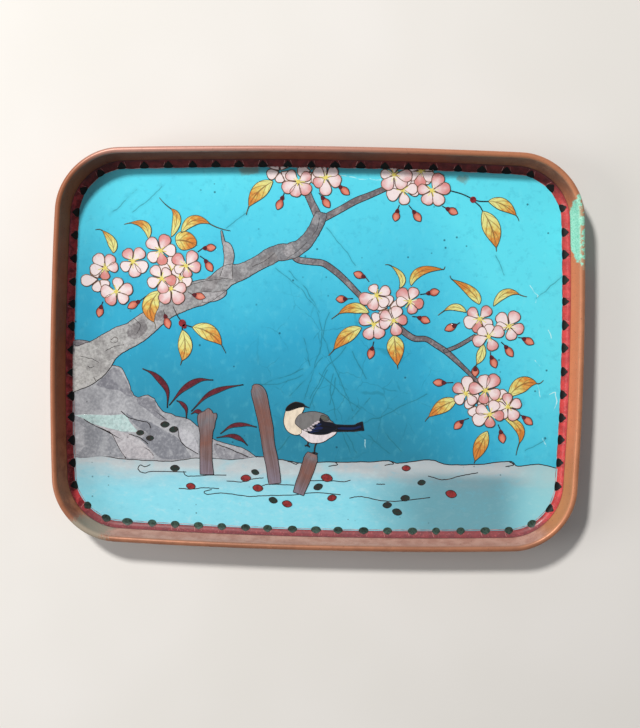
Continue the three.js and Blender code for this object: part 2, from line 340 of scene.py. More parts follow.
class Signal:
    # A socket in a material. Sums and products of it add Math nodes.
    def __init__(self, finish, socket):
        self.finish, self.socket = finish, socket

    def __add__(self, other):
        return self.finish.math("ADD", self, other)

    def __sub__(self, other):
        return self.finish.math("SUBTRACT", self, other)

    def __rsub__(self, other):
        return self.finish.math("SUBTRACT", other, self)

    def __mul__(self, other):
        return self.finish.math("MULTIPLY", self, other)

    def __truediv__(self, other):
        return self.finish.math("DIVIDE", self, other)

    def __pow__(self, other):
        return self.finish.math("POWER", self, other)

    __radd__, __rmul__ = __add__, __mul__


class Finish:
    # A procedural material in the making.
    def __init__(self, name):
        self.material = bpy.data.materials.new(name)
        self.material.use_nodes = True
        self.tree = self.material.node_tree
        self.tree.nodes.clear()
        self.place = self.scaled(self.node("TexCoord", out="Object"), 1000.0)
        self.x, self.y, self.z = self.split(self.place, "XYZ")

    def node(self, kind, settings=None, sockets=None, out=0):
        made = self.tree.nodes.new("ShaderNode" + kind)
        for key, value in (settings or {}).items():
            if key == "stops":
                while len(made.color_ramp.elements) < len(value):
                    made.color_ramp.elements.new(0.5)
                for element, (position, colour) in zip(made.color_ramp.elements, value):
                    element.position, element.color = position, colour
            else:
                setattr(made, key, value)
        for key, value in (sockets or {}).items():
            if isinstance(value, Signal):
                self.tree.links.new(value.socket, made.inputs[key])
            else:
                made.inputs[key].default_value = value
        return Signal(self, made.outputs[out]) if made.outputs else None

    def math(self, operation, *values):
        return self.node("Math", {"operation": operation}, dict(enumerate(values)))

    def vector(self, operation, first, second, out=0):
        return self.node("VectorMath", {"operation": operation}, {0: first, 1: second}, out)

    def scaled(self, whole, by):
        return self.node("VectorMath", {"operation": "SCALE"}, {0: whole, "Scale": by})

    def split(self, whole, axes):
        return [self.node("SeparateXYZ", sockets={0: whole}, out=axis) for axis in axes]

    def inFigure(self):
        # Where a place lies in its own figure: u along it and v across it.
        return self.split(self.node("UVMap", {"uv_map": "UVMap"}), "XY")

    def tint(self, out="Color"):
        # The colour that a figure's mesh carries, or its alpha.
        return self.node("Attribute", {"attribute_name": "tint"}, out=out)

    def mix(self, factor, first, second):
        return self.node("Mix", {"data_type": "RGBA"}, {0: factor, 6: first, 7: second}, 2)

    def ramp(self, factor, stops):
        return self.node("ValToRGB", {"stops": stops}, {0: factor})

    def fade(self, value, low, high):
        # 0 below low and 1 above high, or the other way round when low is the larger.
        sockets = {"Value": value, "From Min": low, "From Max": high}
        return self.node("MapRange", {"interpolation_type": "SMOOTHSTEP"}, sockets)

    def noise(self, size, detail=3.0, roughness=0.55, where=None):
        # Cloudy values about 0.5, with features of this many millimetres.
        sockets = {"Vector": where or self.place, "Scale": 1.0 / size}
        return self.node("TexNoise", sockets=sockets | {"Detail": detail, "Roughness": roughness})

    def cells(self, size, feature="F1", where=None, out="Distance"):
        sockets = {"Vector": where or self.place, "Scale": 1.0 / size}
        return self.node("TexVoronoi", {"feature": feature}, sockets, out)

    def nearest(self, where, lines):
        # How far a place lies from the nearest of some broken lines. For each straight run: the
        # share of it that the place has passed, held between 0 and 1, gives the nearest point.
        least = None
        for line in lines:
            for (startX, startY), (endX, endY) in zip(line, line[1:]):
                run = np.array([endX - startX, endY - startY, 0.0])
                away = self.vector("SUBTRACT", where, (startX, startY, enamelTop))
                share = self.vector("DOT_PRODUCT", away, tuple(run / run.dot(run)), "Value")
                share = self.math("MINIMUM", self.math("MAXIMUM", share, 0.0), 1.0)
                gap = self.vector("DISTANCE", away, self.scaled(tuple(run), share), "Value")
                least = gap if least is None else self.math("MINIMUM", least, gap)
        return least

    def wandering(self, size, reach):
        # The place shifted by slow noise, so that what is drawn with it wanders.
        shift = self.noise(size)
        other = self.noise(size * 0.8, where=self.stretched(90, (1, 1, 1)))
        by = {"X": (shift - 0.5) * reach, "Y": (other - 0.5) * reach}
        return self.vector("ADD", self.place, self.node("CombineXYZ", sockets=by))

    def nearEdge(self):
        # About how far a place lies in from the lip's outside. The swelling of the sides is taken
        # off first; then it is the corner's radius less the gap to the rectangle that the corners
        # turn about.
        radius, bow = tray["cornerRadius"], tray["sideBow"]
        halfX, halfY = tray["length"] / 2 - bow, tray["width"] / 2 - bow
        flatX = self.x - self.x * (1 - (self.y / halfY) ** 2.0) * (bow / halfX)
        flatY = self.y - self.y * (1 - (self.x / halfX) ** 2.0) * (bow / halfY)
        cornerX = self.math("MAXIMUM", self.math("ABSOLUTE", flatX) - (halfX - radius), 0.0)
        cornerY = self.math("MAXIMUM", self.math("ABSOLUTE", flatY) - (halfY - radius), 0.0)
        return radius - self.math("SQRT", cornerX**2.0 + cornerY**2.0)

    def stretched(self, turn, scale):
        # The place turned about Z by degrees and then stretched.
        sockets = {"Vector": self.place, "Rotation": (0, 0, np.radians(turn)), "Scale": scale}
        return self.node("Mapping", {"vector_type": "POINT"}, sockets)

    def bend(self, height, strength, distance):
        # The surface's lean where it is this high, with the distance in millimetres.
        sockets = {"Height": height, "Strength": strength, "Distance": distance / 1000}
        return self.node("Bump", sockets=sockets)

    def done(self, **sockets):
        names = {key: key.replace("_", " ").title() for key in sockets}
        names |= {"ior": "IOR", "specular": "Specular IOR Level"}
        shader = self.node("BsdfPrincipled", sockets={names[k]: v for k, v in sockets.items()})
        self.node("OutputMaterial", sockets={"Surface": shader})
        return self.material


def enamelPits(finish, size, amount):
    # Small dark pits where gas bubbles broke through the enamel: amount is the share of the
    # cells, each of this size, that hold one.
    distance = finish.cells(size)
    lucky = finish.node("SeparateColor", sockets={0: finish.cells(size, out="Color")}, out="Red")
    hole = finish.fade(distance, 0.13, 0.05)
    return hole * finish.fade(lucky, 1 - amount, 1 - 0.7 * amount)


enamel = {"roughness": 0.22, "coat_weight": 0.35, "coat_roughness": 0.12, "specular": 0.4}


def polished(finish, colour, **more):
    # Ground and polished enamel: the surface keeps a faint unevenness, unless its own is given.
    if "normal" not in more:
        height = finish.noise(6.0, 2.0) + 0.25 * finish.noise(0.9, 2.0)
        more["normal"] = finish.bend(height, 0.35, 0.04)
    return finish.done(**(enamel | {"base_color": colour} | more))


marks = {
    "cracks": [
        [(-11.1, 21.5), (-5.1, 16.7), (-0.1, 10.9)], [(-7.5, 21.1), (-2.9, 15.8), (0.8, 10.0)],
        [(-0.1, 10.9), (1.8, 4.7), (1.0, -0.7), (-3.2, -13.4)], [(3.5, 10.1), (1.8, 2.9), (5.1, -4.2),
            (10.3, -16.7)],
        [(8.2, 0.8), (2.9, -5.2), (-1.4, -13.3)], [(1.9, -2.5), (-6.9, -12.5)], [(5.6, -7.8), (4.0, -15.0)],
        [(10.0, -0.5), (13.7, -7.6)], [(-15.9, -10.5), (-10.5, -8.1), (-3.4, -5.3)],
        [(13.0, -19.8), (20.2, -16.9), (29.9, -11.3)], [(-56.3, 35.1), (-49.2, 41.9)], [(-50.0, 36.0),
            (-42.4, 42.9)],
        [(-24.7, 32.0), (-19.4, 36.1)], [(2.2, 32.4), (6.8, 27.1), (10.4, 22.7)], [(47.3, 26.0),
            (50.0, 20.7)],
        [(-3.5, 2.8), (-1.6, -4.3)], [(14.7, -13.0), (10.3, -18.5)], [(18.5, -21.9), (23.1, -27.2)],
        [(3.3, -5.6), (1.7, -8.9), (-0.4, -12.7), (-1.4, -15.4)], [(4.9, -6.6), (3.9, -11.0), (6.2, -19.0)],
        [(-3.7, -6.8), (-10.7, -9.9), (-15.0, -9.7)], [(6.8, -20.6), (7.9, -24.4), (9.6, -28.1)],
        [(14.4, -23.2), (20.4, -27.9)], [(-6.7, -23.6), (-9.8, -27.5)], [(1.1, -6.3), (8.7, -13.6),
            (12.1, -16.2)],
        [(56.9, -26.4), (62.2, -22.7)], [(58.6, 14.6), (65.5, 21.0)], [(7.7, -21.2), (11.4, -28.3)],
    ],
    "scratches": [
        [(5.3, 46.5), (10.0, 45.7), (16.5, 45.7)], [(59.3, -8.2), (60.1, -10.4), (60.4, -11.7)],
        [(58.8, -1.8), (60.2, -3.4)], [(63.0, -10.8), (64.4, -10.3), (64.7, -12.9), (63.7, -15.6)],
        [(56.5, 17.9), (57.8, 16.6), (58.9, 15.3), (58.5, 13.4)], [(61.8, 6.3), (62.9, 4.1)],
        [(61.2, -22.4), (62.1, -24.8)], [(13.6, -24.5), (13.9, -26.7)],
    ],
    "stains": [[(-20.4, 47.3), (-17.0, 47.5)], [(37.8, 46.2), (39.0, 46.0)]],
}


def skyFinish():
    finish = Finish("turquoiseEnamel")
    # Deep blue low in the middle, paling towards the top and the right wall.
    cloud = finish.noise(22.0, 3.0)
    depth = (finish.y + 25) / 75 + 0.65 * finish.fade(finish.x, 22, 64)
    depth = depth - 0.07 * finish.fade(finish.x, -20, -58) + (cloud - 0.5) * 0.35
    stops = [
        (0, rgb(40, 130, 158)), (0.35, rgb(48, 166, 203)), (0.7, rgb(78, 203, 230)),
        (1, rgb(94, 222, 241)),
    ]
    colour = finish.ramp(depth, stops)
    streak = finish.noise(2.2, 4.0, where=finish.stretched(4, (1.2, 0.7, 1)))
    colour = finish.mix(0.12 * finish.fade(streak, 0.5, 0.8), colour, rgb(140, 240, 248))
    mottle = finish.noise(1.5, 4.0)
    colour = finish.mix(0.2 * finish.fade(mottle, 0.52, 0.75), colour, rgb(38, 138, 172))
    # Crazing and scratches, drawn through slow noise so that they wander.
    where = finish.wandering(7.0, 2.2)
    gap = finish.nearest(where, marks["cracks"])
    crack = finish.fade(gap, 0.2, 0.04) * finish.fade(finish.noise(4.0), 0.3, 0.5)
    colour = finish.mix(0.5 * crack, colour, rgb(24, 94, 100))
    # A finer web of crazing round the middle.
    web = finish.fade(finish.cells(8.0, "DISTANCE_TO_EDGE", finish.wandering(5.0, 3.0)), 0.022, 0.004)
    middle = finish.vector("DISTANCE", finish.place, (9, -6, enamelTop), "Value")
    web = web * finish.fade(middle, 34, 16) * finish.fade(finish.noise(6.0), 0.42, 0.56)
    colour = finish.mix(0.3 * web, colour, rgb(22, 98, 108))
    halo = finish.fade(gap, 0.9, 0.1)
    colour = finish.mix(0.12 * halo, colour, rgb(30, 120, 140))
    # Painted shadow: darker along the upper border, where the wall's shadow falls.
    colour = finish.mix(0.5 * finish.fade(finish.y, 46.8, 48.2), colour, rgb(14, 84, 108))
    pits = enamelPits(finish, 3.1, 0.32)
    colour = finish.mix(0.75 * pits, colour, rgb(16, 66, 84))
    scratch = finish.fade(finish.nearest(where, marks["scratches"]), 0.2, 0.03)
    scratch = scratch * finish.fade(finish.noise(1.6), 0.35, 0.6)
    colour = finish.mix(0.75 * scratch, colour, rgb(206, 248, 250))
    stain = finish.nearest(where, marks["stains"]) + (mottle - 0.5) * 2.4
    colour = finish.mix(0.6 * finish.fade(stain, 1.5, 0.3), colour, rgb(120, 108, 78))
    height = finish.noise(6.0, 2.0) + 0.2 * finish.noise(0.9, 2.0) - 0.8 * pits - 0.3 * crack
    return polished(finish, colour, normal=finish.bend(height, 0.4, 0.04))


def waterFinish():
    finish = Finish("waterEnamel")
    stops = [
        (0, rgb(138, 218, 235)), (0.45, rgb(152, 208, 222)), (0.75, rgb(188, 198, 202)),
        (1, rgb(176, 183, 187)),
    ]
    wave = finish.noise(9.0, 3.0, where=finish.stretched(0, (0.45, 1.3, 1)))
    colour = finish.ramp(finish.fade(finish.y + (wave - 0.5) * 9, -42, -29), stops)
    right = finish.fade(finish.x + (finish.noise(16.0, 1.0) - 0.5) * 16, 10, 34)
    right = right * finish.fade(finish.x, 64, 48)
    colour = finish.mix(0.75 * right * finish.fade(finish.y, -31, -35), colour, rgb(92, 136, 148))
    streak = finish.noise(1.6, 5.0, 0.7, where=finish.stretched(0, (0.7, 1.2, 1)))
    colour = finish.mix((1 - 0.8 * right) * 0.3 * finish.fade(streak, 0.5, 0.72), colour, rgb(200, 230,
        234))
    colour = finish.mix(0.25 * finish.fade(streak, 0.48, 0.3), colour, rgb(104, 186, 208))
    colour = finish.mix(0.6 * finish.fade(finish.x, 50, 62), colour, rgb(146, 210, 218))
    bloom = finish.fade(finish.noise(9.0, 2.0), 0.5, 0.75) * (1 - right)
    colour = finish.mix(0.4 * bloom, colour, rgb(126, 220, 236))
    pits = enamelPits(finish, 2.4, 0.3)
    colour = finish.mix(0.7 * pits, colour, rgb(64, 92, 100))
    height = finish.noise(5.0, 2.0) + 0.2 * finish.noise(0.9, 2.0) - 0.6 * pits
    return polished(finish, colour, normal=finish.bend(height, 0.4, 0.04))


def mottledFinish(name, dark, darkShare, pale, paleShare, size):
    # Enamel ground from two or three frits: a tint from the mesh, with darker and paler grains.
    finish = Finish(name)
    tint = finish.tint()
    grain = finish.noise(size, 5.0, 0.7)
    broad = finish.noise(size * 5, 4.0)
    colour = finish.mix(darkShare * finish.fade(grain, 0.58, 0.34), tint, dark)
    colour = finish.mix(paleShare * finish.fade(grain, 0.48, 0.72), colour, pale)
    colour = finish.mix(0.8 * darkShare * finish.fade(broad, 0.50, 0.34), colour, dark)
    colour = finish.mix(0.7 * paleShare * finish.fade(broad, 0.52, 0.66), colour, pale)
    pits = enamelPits(finish, 2.2, 0.25)
    colour = finish.mix(0.6 * pits, colour, rgb(50, 44, 46))
    return polished(finish, colour, roughness=0.34, coat_weight=0.15)


def petalFinish():
    # White at the heart and pink at the tip; the tint's alpha says how pink each petal is.
    finish = Finish("petalEnamel")
    u, v = finish.inFigure()
    blush = finish.tint("Alpha")
    rim = finish.math("ABSOLUTE", v - 0.5) * 0.6
    reach = u + rim + (finish.noise(1.3, 3.0) - 0.5) * 0.5 + blush
    amount = finish.fade(reach, 0.98, 1.7)
    colour = finish.mix(amount, rgb(240, 225, 225), rgb(218, 142, 140))
    colour = finish.mix(finish.fade(blush, 0.82, 1.0) * 0.5, colour, rgb(214, 128, 112))
    colour = finish.mix(0.6 * finish.fade(u, 0.26, 0.04), colour, rgb(238, 228, 150))
    cloud = finish.noise(0.9, 3.0)
    colour = finish.mix(0.25 * finish.fade(cloud, 0.5, 0.72), colour, rgb(206, 186, 194))
    return polished(finish, colour)


def leafFinish():
    # Yellow-green at the stalk, orange towards the tip, with a midrib and slanting veins.
    finish = Finish("leafEnamel")
    u, v = finish.inFigure()
    ripe = finish.tint("Alpha")
    cloud = (finish.noise(1.2, 3.0) - 0.5) * 0.7
    turn = finish.fade(u + cloud + (ripe - 0.5) * 0.8, 0.3, 0.8)
    stops = [(0, rgb(228, 228, 146)), (0.45, rgb(222, 196, 104)), (1, rgb(212, 132, 56))]
    colour = finish.ramp(turn, stops)
    side = finish.math("ABSOLUTE", v - 0.5)
    slant = finish.math("FRACT", (u - side * 0.55) * 5.0)
    vein = finish.fade(finish.math("ABSOLUTE", slant - 0.5), 0.15, 0.04)
    midrib = finish.fade(side, 0.07, 0.02)
    mark = finish.math("MAXIMUM", vein * 0.7, midrib) * finish.fade(u, 0.02, 0.12)
    colour = finish.mix(0.8 * mark, colour, rgb(124, 80, 44))
    return polished(finish, colour)


def budFinish():
    finish = Finish("budEnamel")
    u, v = finish.inFigure()
    heart = ((u - 0.62) / 0.34) ** 2.0 + ((v - 0.5) / 0.42) ** 2.0
    glow = finish.fade(heart + (finish.noise(0.8, 3.0) - 0.5) * 1.2, 1.1, 0.1)
    colour = finish.mix(glow, rgb(182, 86, 71), rgb(224, 138, 115))
    return polished(finish, colour)


def tintFinish(name, streakSize, dark, share, turn=0, stretch=(1, 1, 1)):
    # One tint for each figure, with fine streaks along it.
    finish = Finish(name)
    tint = finish.tint()
    streak = finish.noise(streakSize, 4.0, 0.6, where=finish.stretched(turn, stretch))
    colour = finish.mix(share * finish.fade(streak, 0.58, 0.38), tint, dark)
    return polished(finish, colour)


wireLooks = {  # grain, where its pale places start and are full, two colours, metal, roughness
    "brassWire": (2.5, 0.5, 0.75, (40, 36, 38), (88, 70, 60), 0.2, 0.42),
    "rubbedWire": (1.8, 0.4, 0.65, (134, 66, 66), (208, 150, 146), 0.1, 0.5),
    "petalWire": (2.0, 0.4, 0.65, (96, 70, 58), (136, 104, 80), 0.2, 0.42),
    "leafWire": (2.0, 0.4, 0.65, (72, 70, 48), (112, 92, 56), 0.3, 0.42),
}


def wireFinish(name):
    # Brass wire, ground level with the enamel and dulled, with paler places where it is rubbed.
    grain, low, high, dark, pale, metal, rough = wireLooks[name]
    finish = Finish(name)
    colour = finish.mix(finish.fade(finish.noise(grain), low, high), rgb(*dark), rgb(*pale))
    return finish.done(base_color=colour, metallic=metal, roughness=rough, specular=0.3)


def borderFinish():
    # Red enamel with cloudy darker and pinker places and a dark line where it meets the copper; painted
    # light makes it paler along the bottom and brighter on the right, and painted shade darkens it along
    # the top.
    finish = Finish("redEnamel")
    cloud = finish.noise(1.7, 4.0)
    fine = finish.noise(0.5, 3.0)
    colour = finish.mix(finish.fade(cloud, 0.36, 0.6), rgb(120, 26, 34), rgb(192, 62, 66))
    # Painted light: paler along the bottom and brighter red on the right, the sides that face the light.
    colour = finish.mix(0.8 * finish.fade(finish.y, -42, -47), colour, rgb(124, 72, 76))
    colour = finish.mix(0.5 * finish.fade(finish.x, 60, 64), colour, rgb(212, 74, 72))
    colour = finish.mix(0.4 * finish.fade(fine, 0.55, 0.72), colour, rgb(214, 122, 122))
    # Painted shade: darker along the top, where the wall's shadow falls.
    colour = finish.mix(0.8 * finish.fade(finish.y, 38, 46), colour, rgb(78, 38, 38))
    line = finish.fade(finish.z, borderTop - 0.35, borderTop - 0.05)
    colour = finish.mix(0.85 * line, colour, rgb(52, 18, 20))
    return polished(finish, colour, roughness=0.42, coat_weight=0.1, specular=0.3)


def copperFinish():
    finish = Finish("wornCopper")
    x, y, z = finish.x, finish.y, finish.z
    broad, cloud = finish.noise(16.0, 4.0), finish.noise(3.2, 4.0, 0.6)
    fine = finish.noise(0.5, 4.0, 0.65)
    # The lip is rubbed bright and the wall keeps a brown skin. Painted shade makes the wall darker brown
    # towards the top and the left, the walls that turn away from the light.
    rubbed = finish.fade(z + (cloud - 0.5) * 1.2, lipTop - 1.3, lipTop - 0.2)
    worn = finish.fade(broad * 0.5 + cloud * 0.5, 0.40, 0.60)
    colour = finish.mix(worn, rgb(150, 86, 58), rgb(196, 124, 88))
    shadeTopLeft = finish.fade(y - x * 0.6 + (broad - 0.5) * 24, -6, 34)
    skin = finish.mix(finish.fade(x, -58, -66), rgb(126, 62, 42), rgb(156, 80, 42))
    colour = finish.mix(0.8 * shadeTopLeft, colour, skin)
    edge = finish.nearEdge()
    inside = finish.fade(edge, 1.25, 1.6)
    # Painted light: the bottom wall, which faces the light, is painted pale rose, and the right wall bright
    # orange that turns a duller tan low down.
    pink = finish.fade(y, -44, -49) * finish.fade(x, 70, 62) * inside
    litWallRose = finish.mix(finish.fade(cloud, 0.36, 0.64), rgb(184, 136, 122), rgb(200, 158, 144))
    colour = finish.mix(0.85 * pink, colour, litWallRose)
    orange = finish.fade(x, 60, 66) * finish.fade(y, 46, 34) * inside
    colour = finish.mix(0.85 * orange, colour, rgb(224, 130, 86))
    tan = finish.fade(x, 58, 65) * finish.fade(y, -18, -38) * (1 - finish.fade(y, -46, -50)) * inside
    colour = finish.mix(0.75 * tan, colour, rgb(172, 124, 80))
    # Below the lip the outside is brown all round.
    outside = finish.fade(z, 9.3, 8.0) * (1 - inside)
    colour = finish.mix(0.8 * outside, colour, rgb(128, 76, 52))
    lip = finish.mix(finish.fade(x, -10, 44), rgb(208, 162, 148), rgb(202, 138, 102))
    lip = finish.mix(finish.fade(x, -52, -67), lip, rgb(150, 100, 74))
    # Painted shade: the lip is darker along the bottom, which turns away from the light.
    lip = finish.mix(finish.fade(y, -46, -51), lip, rgb(158, 112, 88))
    colour = finish.mix(rubbed * 0.65, colour, lip)
    speck = finish.fade(fine, 0.58, 0.70)
    colour = finish.mix(0.45 * speck, colour, rgb(84, 50, 38))
    # Verdigris on the right wall near the upper corner, and a grey-green bruise at the lower left.
    along = (y - 31.8 + (x - 68.6) * 1.6) / 8.8
    gap = ((x - 69.2) / 2.7) ** 2.0 + along**2.0
    flake = finish.noise(1.3, 3.0, where=finish.stretched(0, (1, 1, 0.3)))
    green = finish.fade(gap + (flake - 0.5) * 1.1, 1.25, 1.0)
    rusty = finish.fade(flake, 0.47, 0.53) * finish.fade(edge, 1.7, 1.0)
    low = ((x + 59.5) / 6.0) ** 2.0 + ((y + 49.0) / 3.8) ** 2.0
    bruise = finish.fade(low + (fine - 0.5) * 3.0 + (cloud - 0.5) * 2.0, 1.3, 0.5)
    powder = finish.mix(finish.fade(fine, 0.4, 0.6), rgb(128, 206, 176), rgb(172, 232, 208))
    colour = finish.mix(green * (1 - 0.85 * rusty), colour, powder)
    colour = finish.mix(0.75 * bruise, colour, rgb(150, 150, 134))
    crust = finish.math("MAXIMUM", green, bruise)
    rough = 0.4 + 0.12 * speck + 0.2 * (1 - rubbed) + 0.2 * crust
    height = finish.noise(1.3, 4.0, 0.6) + 0.5 * fine + 1.5 * crust * finish.noise(0.35, 3.0)
    normal = finish.bend(height, 0.45, 0.05)
    shine = (0.05 + 0.15 * rubbed) * (1 - crust)
    return finish.done(
        base_color=colour, metallic=shine, roughness=rough, normal=normal, specular=0.3)


def plainEnamelFinish():
    finish = Finish("undersideEnamel")
    cloud = finish.noise(6.0, 4.0)
    colour = finish.mix(finish.fade(cloud, 0.35, 0.65), rgb(30, 108, 128), rgb(52, 146, 164))
    pits = enamelPits(finish, 3.4, 0.4)
    return polished(finish, finish.mix(0.8 * pits, colour, rgb(18, 48, 56)))


# The pan, the coat under it and the border

pan = {
    "lipRadius": 0.8,
    "wallTopInset": 1.5,
    "wallFootInset": 2.5,
    "wallThickness": 1.1,
    "footAcross": 2.9,
    "footUp": 3.2,
    "hollow": 0.15,
    "borderInset": 4.3,  # where the border meets the picture
    "borderEdge": 0.5,
    "wobble": 0.10,  # of the hand-beaten wall
}


def borderHeight(inset):
    # The border's face: a quarter ellipse from the floor up to the wall.
    across = np.clip((pan["borderInset"] - inset) / (pan["borderInset"] - pan["wallFootInset"]), 0, 1)
    return borderTop - (borderTop - enamelTop) * np.sqrt(1 - across**2)


def rebate(start, end, count):
    # The quarter ellipse where the border's back seats in the pan, from one angle to another.
    across = pan["borderInset"] - pan["wallFootInset"] + pan["borderEdge"]
    return arc(pan["borderInset"], borderTop, across, borderTop - panFloor, start, end, count)


def makePan():
    lipHeight = lipTop - pan["lipRadius"]
    base = pan["wallFootInset"] - pan["wallThickness"] + pan["footAcross"]
    foot = arc(base, panUnder + pan["footUp"], pan["footAcross"], pan["footUp"], -90, 0, 14)
    lip = arc(pan["lipRadius"], lipHeight, pan["lipRadius"], pan["lipRadius"], -60, 150, 20)
    # The wall leans from under the lip to the border, and is a little hollow.
    wallTop = lipHeight - pan["lipRadius"] / 2
    share = np.linspace(0.12, 1, 14)
    inset = pan["wallTopInset"] + (pan["wallFootInset"] - pan["wallTopInset"]) * share
    inset = inset - pan["hollow"] * np.sin(np.pi * share)
    wall = np.stack([inset, wallTop + (borderTop - wallTop) * share], -1)
    section = foot + lip + wall.tolist() + rebate(0, -90, 10)
    shell = Shell().add(closedRound(section, pan["wobble"]))
    shell.build("copperPan", copperFinish(), ["copper_pan"], "copper", smooth=True)
    coat = [[base + 0.6, 0.0], [base + 0.25, 0.06], [base + 0.05, 0.25], [base, panUnder]]
    under = Shell().add(closedRound(coat))
    under.build("undersideCoat", plainEnamelFinish(), ["underside_enamel"], "underside_enamel")
    print("pan and underside made")


def makeBorder():
    inset = np.linspace(pan["borderInset"], pan["wallFootInset"], 12)
    face = np.stack([inset, borderHeight(inset)], -1)
    points = roundTray(rebate(-90, 0, 8) + face[::-1].tolist())
    Shell().add(points, meets=True).build(
        "redBorder", borderFinish(), ["border_enamel"], "border_enamel", smooth=True)
    print("border made")


border = {
    # Dark gussets round the tray, closer along the short sides: the number of one, and its share
    # of the way round.
    "spacing": [
        (0, 0), (11, 0.1571), (16, 0.232), (25, 0.368), (35, 0.5143), (45, 0.6571), (49, 0.716),
        (58, 0.8488), (68, 1),
    ],
    "fan": mirrored([(0, 0), (0.42, 0.22), (0.84, 0.5), (1, 0.76), (0.9, 0.9), (0.5, 0.98), (0, 1)]),
    "dome": mirrored([(0, 0), (0.46, 0.12), (0.88, 0.3), (1, 0.48), (0.92, 0.7), (0.58, 0.92), (0, 1)]),
    "gussetHalf": 1.24,  # half the width of a gusset, along the border
    "gussetInner": 4.5,  # inset of its back, at the picture
    "gussetOuter": 2.75,  # inset of its point, near the copper
    "lowSide": -42,  # below this they stand out into the picture
    "lowInner": 5.1,
    "lowOuter": 3.2,
    "lappetInner": 4.4,
    "wireOuter": 2.7,  # inset where the thin wires end, at the copper
    "wireSteps": 1400,  # of the wire that runs all round
}


def onBorder(share, inset, lift):
    # A point on the border's face or the picture's floor, lifted by so much.
    x, y = onTray(share, inset)
    return np.stack([x, y, borderHeight(inset) + lift], -1)


def makeLappets():
    # Each gusset is a small fan, whose sides run from the point out to a rounded back. Along the
    # bottom it is a rounder dome.
    number, way = np.array(border["spacing"]).T
    count = int(number[-1])
    turns = np.interp(np.arange(count), number, way) + chance.normal(0, 0.0004, count)
    girth = 2 * (tray["length"] + tray["width"]) - 60  # about the way round
    half = border["gussetHalf"] / girth * (1 + chance.normal(0, 0.07, count))
    low = onTray(turns, border["gussetInner"])[1] < border["lowSide"]
    inner = np.where(low, border["lowInner"], border["gussetInner"])
    outer = np.where(low, border["lowOuter"], border["gussetOuter"])
    fan, dome = (curveThrough(border[kind], 36, closed=True) for kind in ("fan", "dome"))
    along = np.where(low[:, None, None], dome, fan)[:, None]
    # In rings: from the middle of its foot out, up the rim and back in over its face.
    share = np.array([0.03, 1, 1, 0.97, 0.75, 0.5, 0.25, 0.03])
    lift = np.array([-0.2, -0.2, 0.07, 0.085, 0.085, 0.085, 0.085, 0.085])
    middle = along.mean(2, keepdims=True)
    shape = middle + (along - middle) * share[:, None, None]
    s = turns[:, None, None] + shape[..., 0] * half[:, None, None]
    d = outer[:, None, None] + shape[..., 1] * (inner - outer)[:, None, None]
    points = onBorder(s, d, np.broadcast_to(lift[:, None], s.shape))
    dark = np.array([rgb(14, 18, 18), rgb(20, 27, 25), rgb(12, 12, 14)])
    tint = dark[chance.integers(0, len(dark), count)]
    tint[low] = np.array(rgb(56, 80, 70)) * chance.uniform(0.5, 1.3, (low.sum(), 1))
    gussets = Shell().add(points, tint=tint)
    gussets.build("borderGussets", gussetFinish(), slot="border_enamel")

    shell = Shell()
    # Two thin wires run from each gusset out to the copper, drawing together a little.
    t = np.linspace(0, 1, 8)
    for side in (-1, 1):
        s = turns[:, None] + side * half[:, None] * (0.98 - 0.35 * t)
        d = outer[:, None] + (inner - outer)[:, None] * 0.6 * (1 - t)
        d = d + (border["wireOuter"] - outer)[:, None] * t
        shell.add(surfaceWire(np.stack([s, d], -1), 0.06, False))
    # Wire between the border and the picture, bowed inwards along each lappet.
    turn = np.arange(border["wireSteps"]) / border["wireSteps"]
    bow = np.sin(np.pi * np.mod(np.interp(turn, way, number), 1.0)) ** 0.7
    edge = np.stack([turn, border["lappetInner"] - 0.22 + 0.26 * bow], -1)[None]
    shell.add(surfaceWire(edge, 0.08, True), meets=True)
    shell.build("borderWires", wireFinish("rubbedWire"), smooth=True, slot="border_enamel")
    print("lappets made:", count)


def surfaceWire(path, radius, closed):
    # A wire along a path of [share, inset] on the border's face: six points round it.
    share, inset = path[..., 0], path[..., 1]
    centre = onBorder(share, inset, 0.0)
    step = 0.02  # over which the face's slope is measured
    slope = unit(onBorder(share, inset - step, 0.0) - onBorder(share, inset + step, 0.0))
    lengthways = unit(onBorder(share + 1e-4, inset, 0.0) - centre)
    normal = np.cross(lengthways, slope)
    normal *= np.sign(normal[..., 2:])
    side = np.cross(normal, headings(centre, closed))
    angle = np.arange(6) * np.pi / 3
    across = side[:, :, None] * (radius * np.cos(angle))[:, None]
    return centre[:, :, None] + across + normal[:, :, None] * (0.06 * np.sin(angle))[:, None]


def gussetFinish():
    finish = Finish("gussetEnamel")
    tint = finish.tint()
    cloud = finish.fade(finish.noise(0.6, 4.0, 0.6), 0.58, 0.38)
    colour = finish.mix(0.6 * cloud, tint, rgb(8, 12, 12))
    return polished(finish, colour, roughness=0.45, coat_weight=0.05, specular=0.25)


# The fields of the picture

fields = {
    "edgeInset": 4.38,  # a little way under the border
    "wireRadius": 0.17,  # of the wires in the water
    "waterline": [
        (-66, -29.9), (-58.1, -30.1), (-52.1, -30.8), (-45.2, -31.1), (-38.6, -31.1), (-31.4, -30.1),
        (-22, -30.3), (-16.0, -29.5), (-9.9, -29.9), (-4.0, -30.9), (1.9, -30.5), (13.8, -30.2),
        (19.4, -29.7), (23.1, -30.3), (31.2, -29.2), (36.0, -30.4), (44.2, -30.2), (52.2, -29.2),
        (54.8, -30.4), (60.3, -29.8), (66, -31.0),
    ],
}


def leftEdge(y):
    # How far left the picture runs at each of these heights, and a little way under the border.
    edgeX, edgeY = onTray(np.linspace(0.4, 0.75, 600), fields["edgeInset"] - 0.3)
    return np.interp(y, edgeY[::-1], edgeX[::-1])


def makeSky():
    section = [[fields["edgeInset"], panFloor], [fields["edgeInset"], enamelTop]]
    nodes = ["sky_enamel", "sky_enamel_2", "sky_enamel_3"]
    Shell().add(closedRound(section)).build("skyField", skyFinish(), nodes, "sky_enamel")
    print("sky made")


